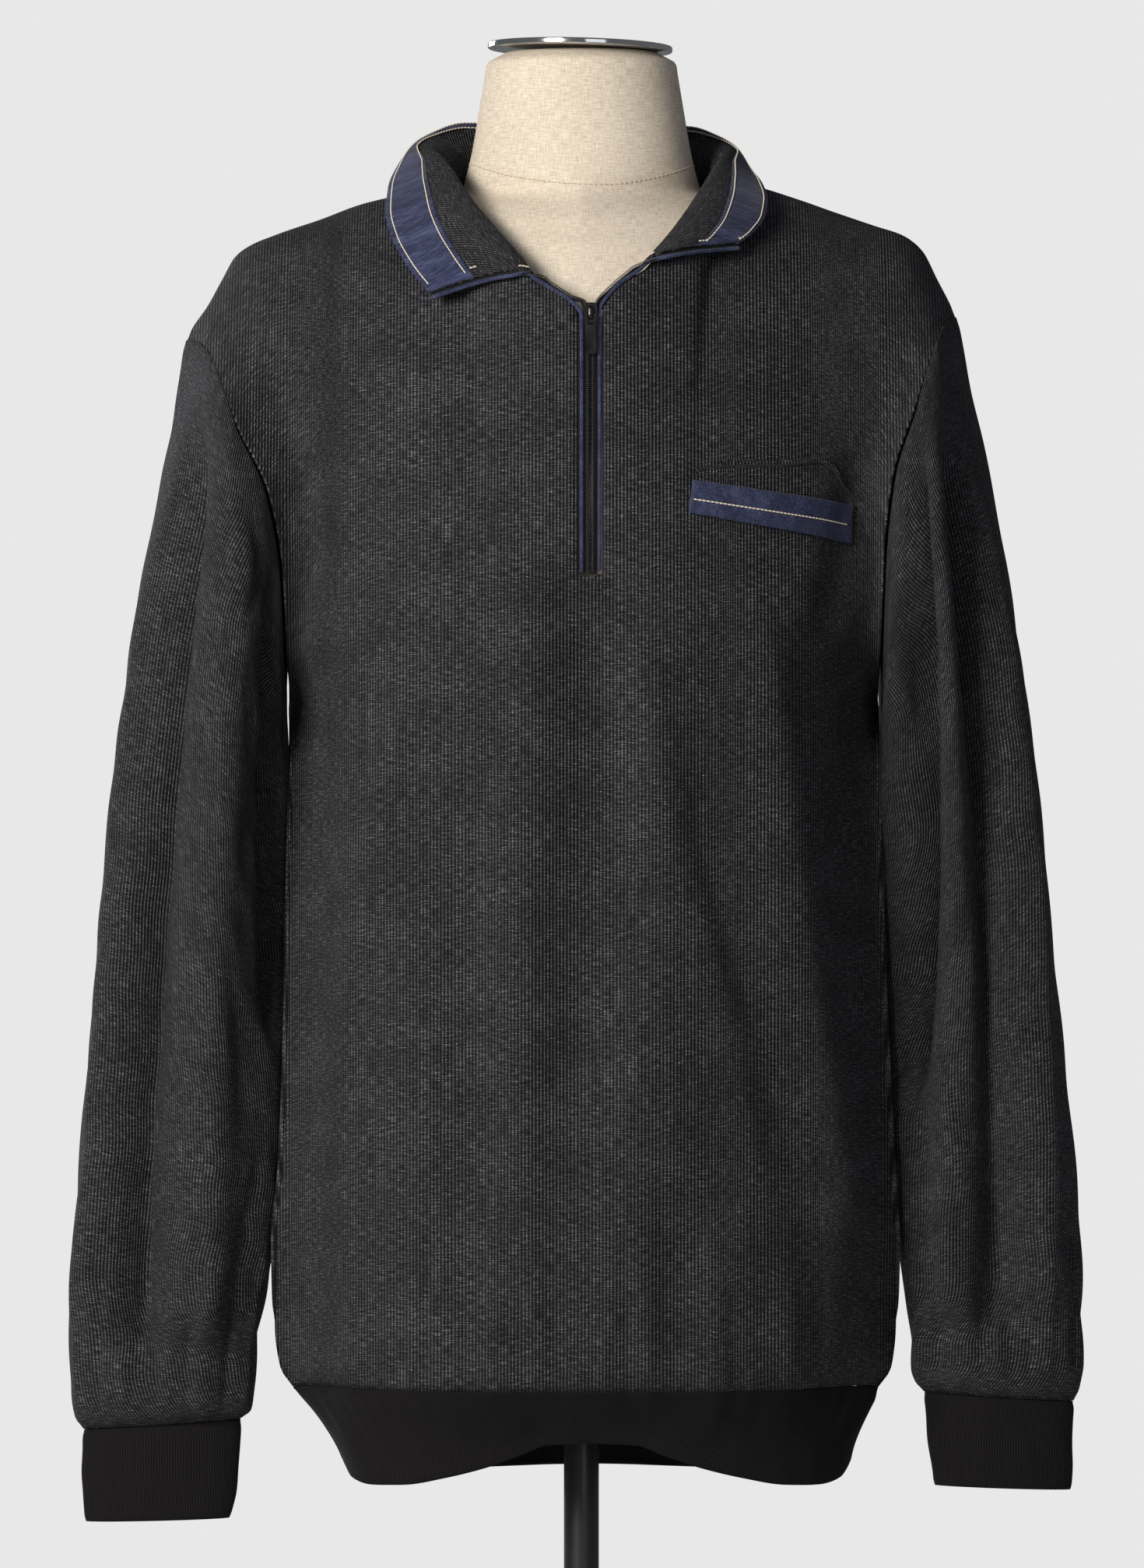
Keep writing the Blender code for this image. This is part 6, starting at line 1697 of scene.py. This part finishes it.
# ---- the dress form
@dataclass
class DressForm:
    """The limbless form: a linen torso with its neck, a chrome cap, and a pole on a round base."""

    columns: int = 176
    rows: int = 120
    cap_radius: float = 0.0522
    cap_thickness: float = 0.0034
    cap_lean: float = radians(1.4)
    cap_centre: tuple[float, float, float] = (-0.0007, 0.0020, 1.3634)
    pole_radius: float = 0.0099
    base_radius: float = 0.165
    base_thickness: float = 0.010
    seam_height: float = 1.2826

    def section(self, angle: Array, height: Array) -> Array:
        """Points of the torso: superellipse sections with their own depth in front and behind."""
        power = 2.0 / FORM_ROWS.read("squareness", height)
        across = np.sign(np.cos(angle)) * np.abs(np.cos(angle)) ** power
        along = np.sign(np.sin(angle)) * np.abs(np.sin(angle)) ** power
        depth = np.where(along < 0, -FORM_ROWS.read("front", height), FORM_ROWS.read("back", height))
        return np.stack([across * FORM_ROWS.read("half_width", height), along * depth, height], axis=-1)

    def build(self) -> None:
        """Adds the torso with its neck seam, the cap, the pole and the base."""
        heights = FORM_ROWS.column("height")
        low, top = heights[0], heights[-1]
        rows = np.concatenate([np.linspace(low, 1.24, 50)[:-1], np.linspace(1.24, top, self.rows - 49)])
        angle = 2 * pi * (np.arange(self.columns) / self.columns + 0.25)
        around, height = np.meshgrid(angle, rows)
        torso = self.section(around, height)
        closing = np.linspace(1, 0.02, 14)[:, None, None]
        middle = np.array([0.0, 0.002, 0.0])
        lid = middle + (torso[-1:] - middle) * np.array([1, 1, 0]) * closing + np.array([0, 0, top])
        floor = middle + (torso[:1] - middle) * np.array([1, 1, 0]) * closing[::-1] + np.array([0, 0, low])
        points = np.concatenate([floor[:-1], torso, lid[1:]])
        rows, columns = points.shape[:2]
        faces, uvs = grid_faces(cloth_lengths(points, tube=True), columns, np.ones((rows - 1, columns), bool))
        piece = add_piece("linen_torso", grid_mesh("linen_torso", points, faces, uvs), Finish.LINEN)
        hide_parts("form_torso")
        ring = np.linspace(0, 2 * pi, 240)
        x = self.section(ring, np.full(ring.shape, self.seam_height))[..., 0]
        seam = self.section(ring, self.seam_height + 2.6 * (x - 0.008) ** 2 + 0.1 * np.maximum(x - 0.02, 0.0))
        away = unit(seam * np.array([1.0, 1.0, 0.0]))
        neck_seam = join_bars("seam_linen_neck", stitches(seam + away * 0.0001, away, 0.0030, 0.0022, 0.00030),
                              Finish.TAN_THREAD)
        cap = turned("chrome_neck_cap", self.disc(self.cap_radius, self.cap_thickness, 0.0009), self.cap_centre,
                     self.cap_lean, Finish.CHROME)
        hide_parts("form_cap")
        base = turned("painted_base", self.disc(self.base_radius, self.base_thickness, 0.003),
                      (0.0, 0.0, self.base_thickness / 2), 0.0, Finish.BLACK_PAINT, 128)
        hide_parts("stand_base")
        foot, head = self.base_thickness + SEAM_GAP, low - SEAM_GAP
        pole = turned("painted_pole", self.disc(self.pole_radius, head - foot, 0.0006),
                      (0.0, 0.0, (foot + head) / 2), 0.0, Finish.BLACK_PAINT, 64)
        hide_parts("stand_pole")

    def disc(self, radius: float, thickness: float, edge: float) -> Array:
        """The profile of a round plate with quarter-round rims."""
        turn = np.linspace(0, pi / 2, 7)
        rim = np.stack([radius - edge + edge * np.sin(turn), edge - edge * np.cos(turn)], axis=-1)
        half = thickness / 2
        low = np.concatenate([[[0.0, 0.0]], rim]) - np.array([0.0, half])
        high = low[::-1] * np.array([1.0, -1.0])
        return np.concatenate([low, high])


# ---- the stage
@dataclass
class Studio:
    """A plain pale floor, soft light from the front left, and the camera at the photograph's angle."""

    camera_place: tuple[float, float, float] = (-0.0053, -5.0, 0.9473)
    seen_height: float = 0.886
    paper: str = "#e9e8e8"
    room: str = "#68696d"

    def build(self) -> None:
        """Adds the floor, the pale surroundings, the lights and the camera."""
        scene = bpy.context.scene
        scene.view_settings.view_transform = "Standard"
        self.add_floor()
        self.add_world(scene)
        self.add_light("key", (-1.15, -1.80, 1.62), 0.75, 62.0, "#fffaf3")
        self.add_light("fill", (1.5, -4.3, 1.6), 2.0, 14.0, "#f4f6ff")
        self.add_light("behind", (-2.0, 3.2, 1.5), 1.6, 60.0, "#f4f6ff")
        camera = bpy.data.objects.new("camera", bpy.data.cameras.new("camera"))
        camera.location = self.camera_place
        camera.rotation_euler = (pi / 2, 0.0, 0.0)
        camera.data.lens = 36.0 * -self.camera_place[1] / self.seen_height
        scene.collection.objects.link(camera)
        scene.camera = camera

    def add_floor(self) -> None:
        """A round floor, out of the photograph's frame, under the base."""
        count, radius = 96, 2.4
        angle = 2 * pi * np.arange(count) / count
        ring = np.stack([np.cos(angle) * radius, np.sin(angle) * radius, np.zeros(count)], axis=-1)
        mesh = bpy.data.meshes.new("floor")
        mesh.from_pydata(ring.tolist(), [], [list(range(count))])
        mesh.update()
        floor = bpy.data.objects.new("floor", mesh)
        bpy.context.scene.collection.objects.link(floor)
        floor.data.materials.append(Solid("pale_painted_floor", "#dcdbd9", "#e4e3e1", 0.75, 0.0, 60.0).make())

    def add_world(self, scene: bpy.types.Scene) -> None:
        """A pale background, and a dimmer room around it that fills the shadows."""
        world = bpy.data.worlds.new("studio")
        world.use_nodes = True
        tree = world.node_tree
        tree.nodes.clear()
        seen = add_node(tree, "ShaderNodeLightPath").outputs["Is Camera Ray"]
        colour = add_node(tree, "ShaderNodeMix", {0: seen, 6: linear(self.room), 7: linear(self.paper)},
                          data_type="RGBA").outputs[2]
        glow = add_node(tree, "ShaderNodeBackground", {"Color": colour, "Strength": 1.0})
        add_node(tree, "ShaderNodeOutputWorld", {"Surface": glow.outputs[0]})
        scene.world = world

    def add_light(self, name: str, place: tuple[float, float, float], size: float, power: float,
                  colour: str) -> None:
        """A square soft light that faces the middle of the object."""
        lamp = bpy.data.lights.new(name, "AREA")
        lamp.size = size
        lamp.energy = power
        lamp.color = linear(colour)[:3]
        light = bpy.data.objects.new(name, lamp)
        light.location = place
        way = Vector(place) - Vector((0.0, 0.0, 0.95))
        light.rotation_euler = way.to_track_quat("Z", "Y").to_euler()
        bpy.context.scene.collection.objects.link(light)


def finish_hardware() -> None:
    """Gives the slider and the pull, whose solids are shown, their plating."""
    for node in ("zip_slider", "zip_pull"):
        for slot in bpy.data.objects[node].material_slots:
            slot.material = Finish.GUNMETAL.material()


def main() -> None:
    """Builds each sub-assembly, then the stage."""
    logging.basicConfig(level=logging.INFO, format="%(message)s")
    BodyPanel(Face.FRONT, width=0.520, length=0.690, area=0.300).build()
    BodyPanel(Face.BACK, width=0.520, length=0.690, area=0.304).build()
    Sleeve(Side.RIGHT, width=0.420, length=0.640, area=0.192).build()
    Sleeve(Side.LEFT, width=0.420, length=0.640, area=0.180, open_to=0.02, hollow=0.036).build()
    Cuff(Side.RIGHT, width=0.190, length=0.053, area=0.0100).build()
    Cuff(Side.LEFT, width=0.180, length=0.053, area=0.0092).build()
    HemBand(width=0.720, length=0.056, area=0.0402).build()
    collar = Collar(0.420, 0.062, 0.0252, 0.420, 0.030, 0.0075)
    collar.build()
    HalfZip(collar).build()
    PocketWelt().build()
    DressForm().build()
    finish_hardware()
    Studio().build()


if __name__ == "__main__":
    main()
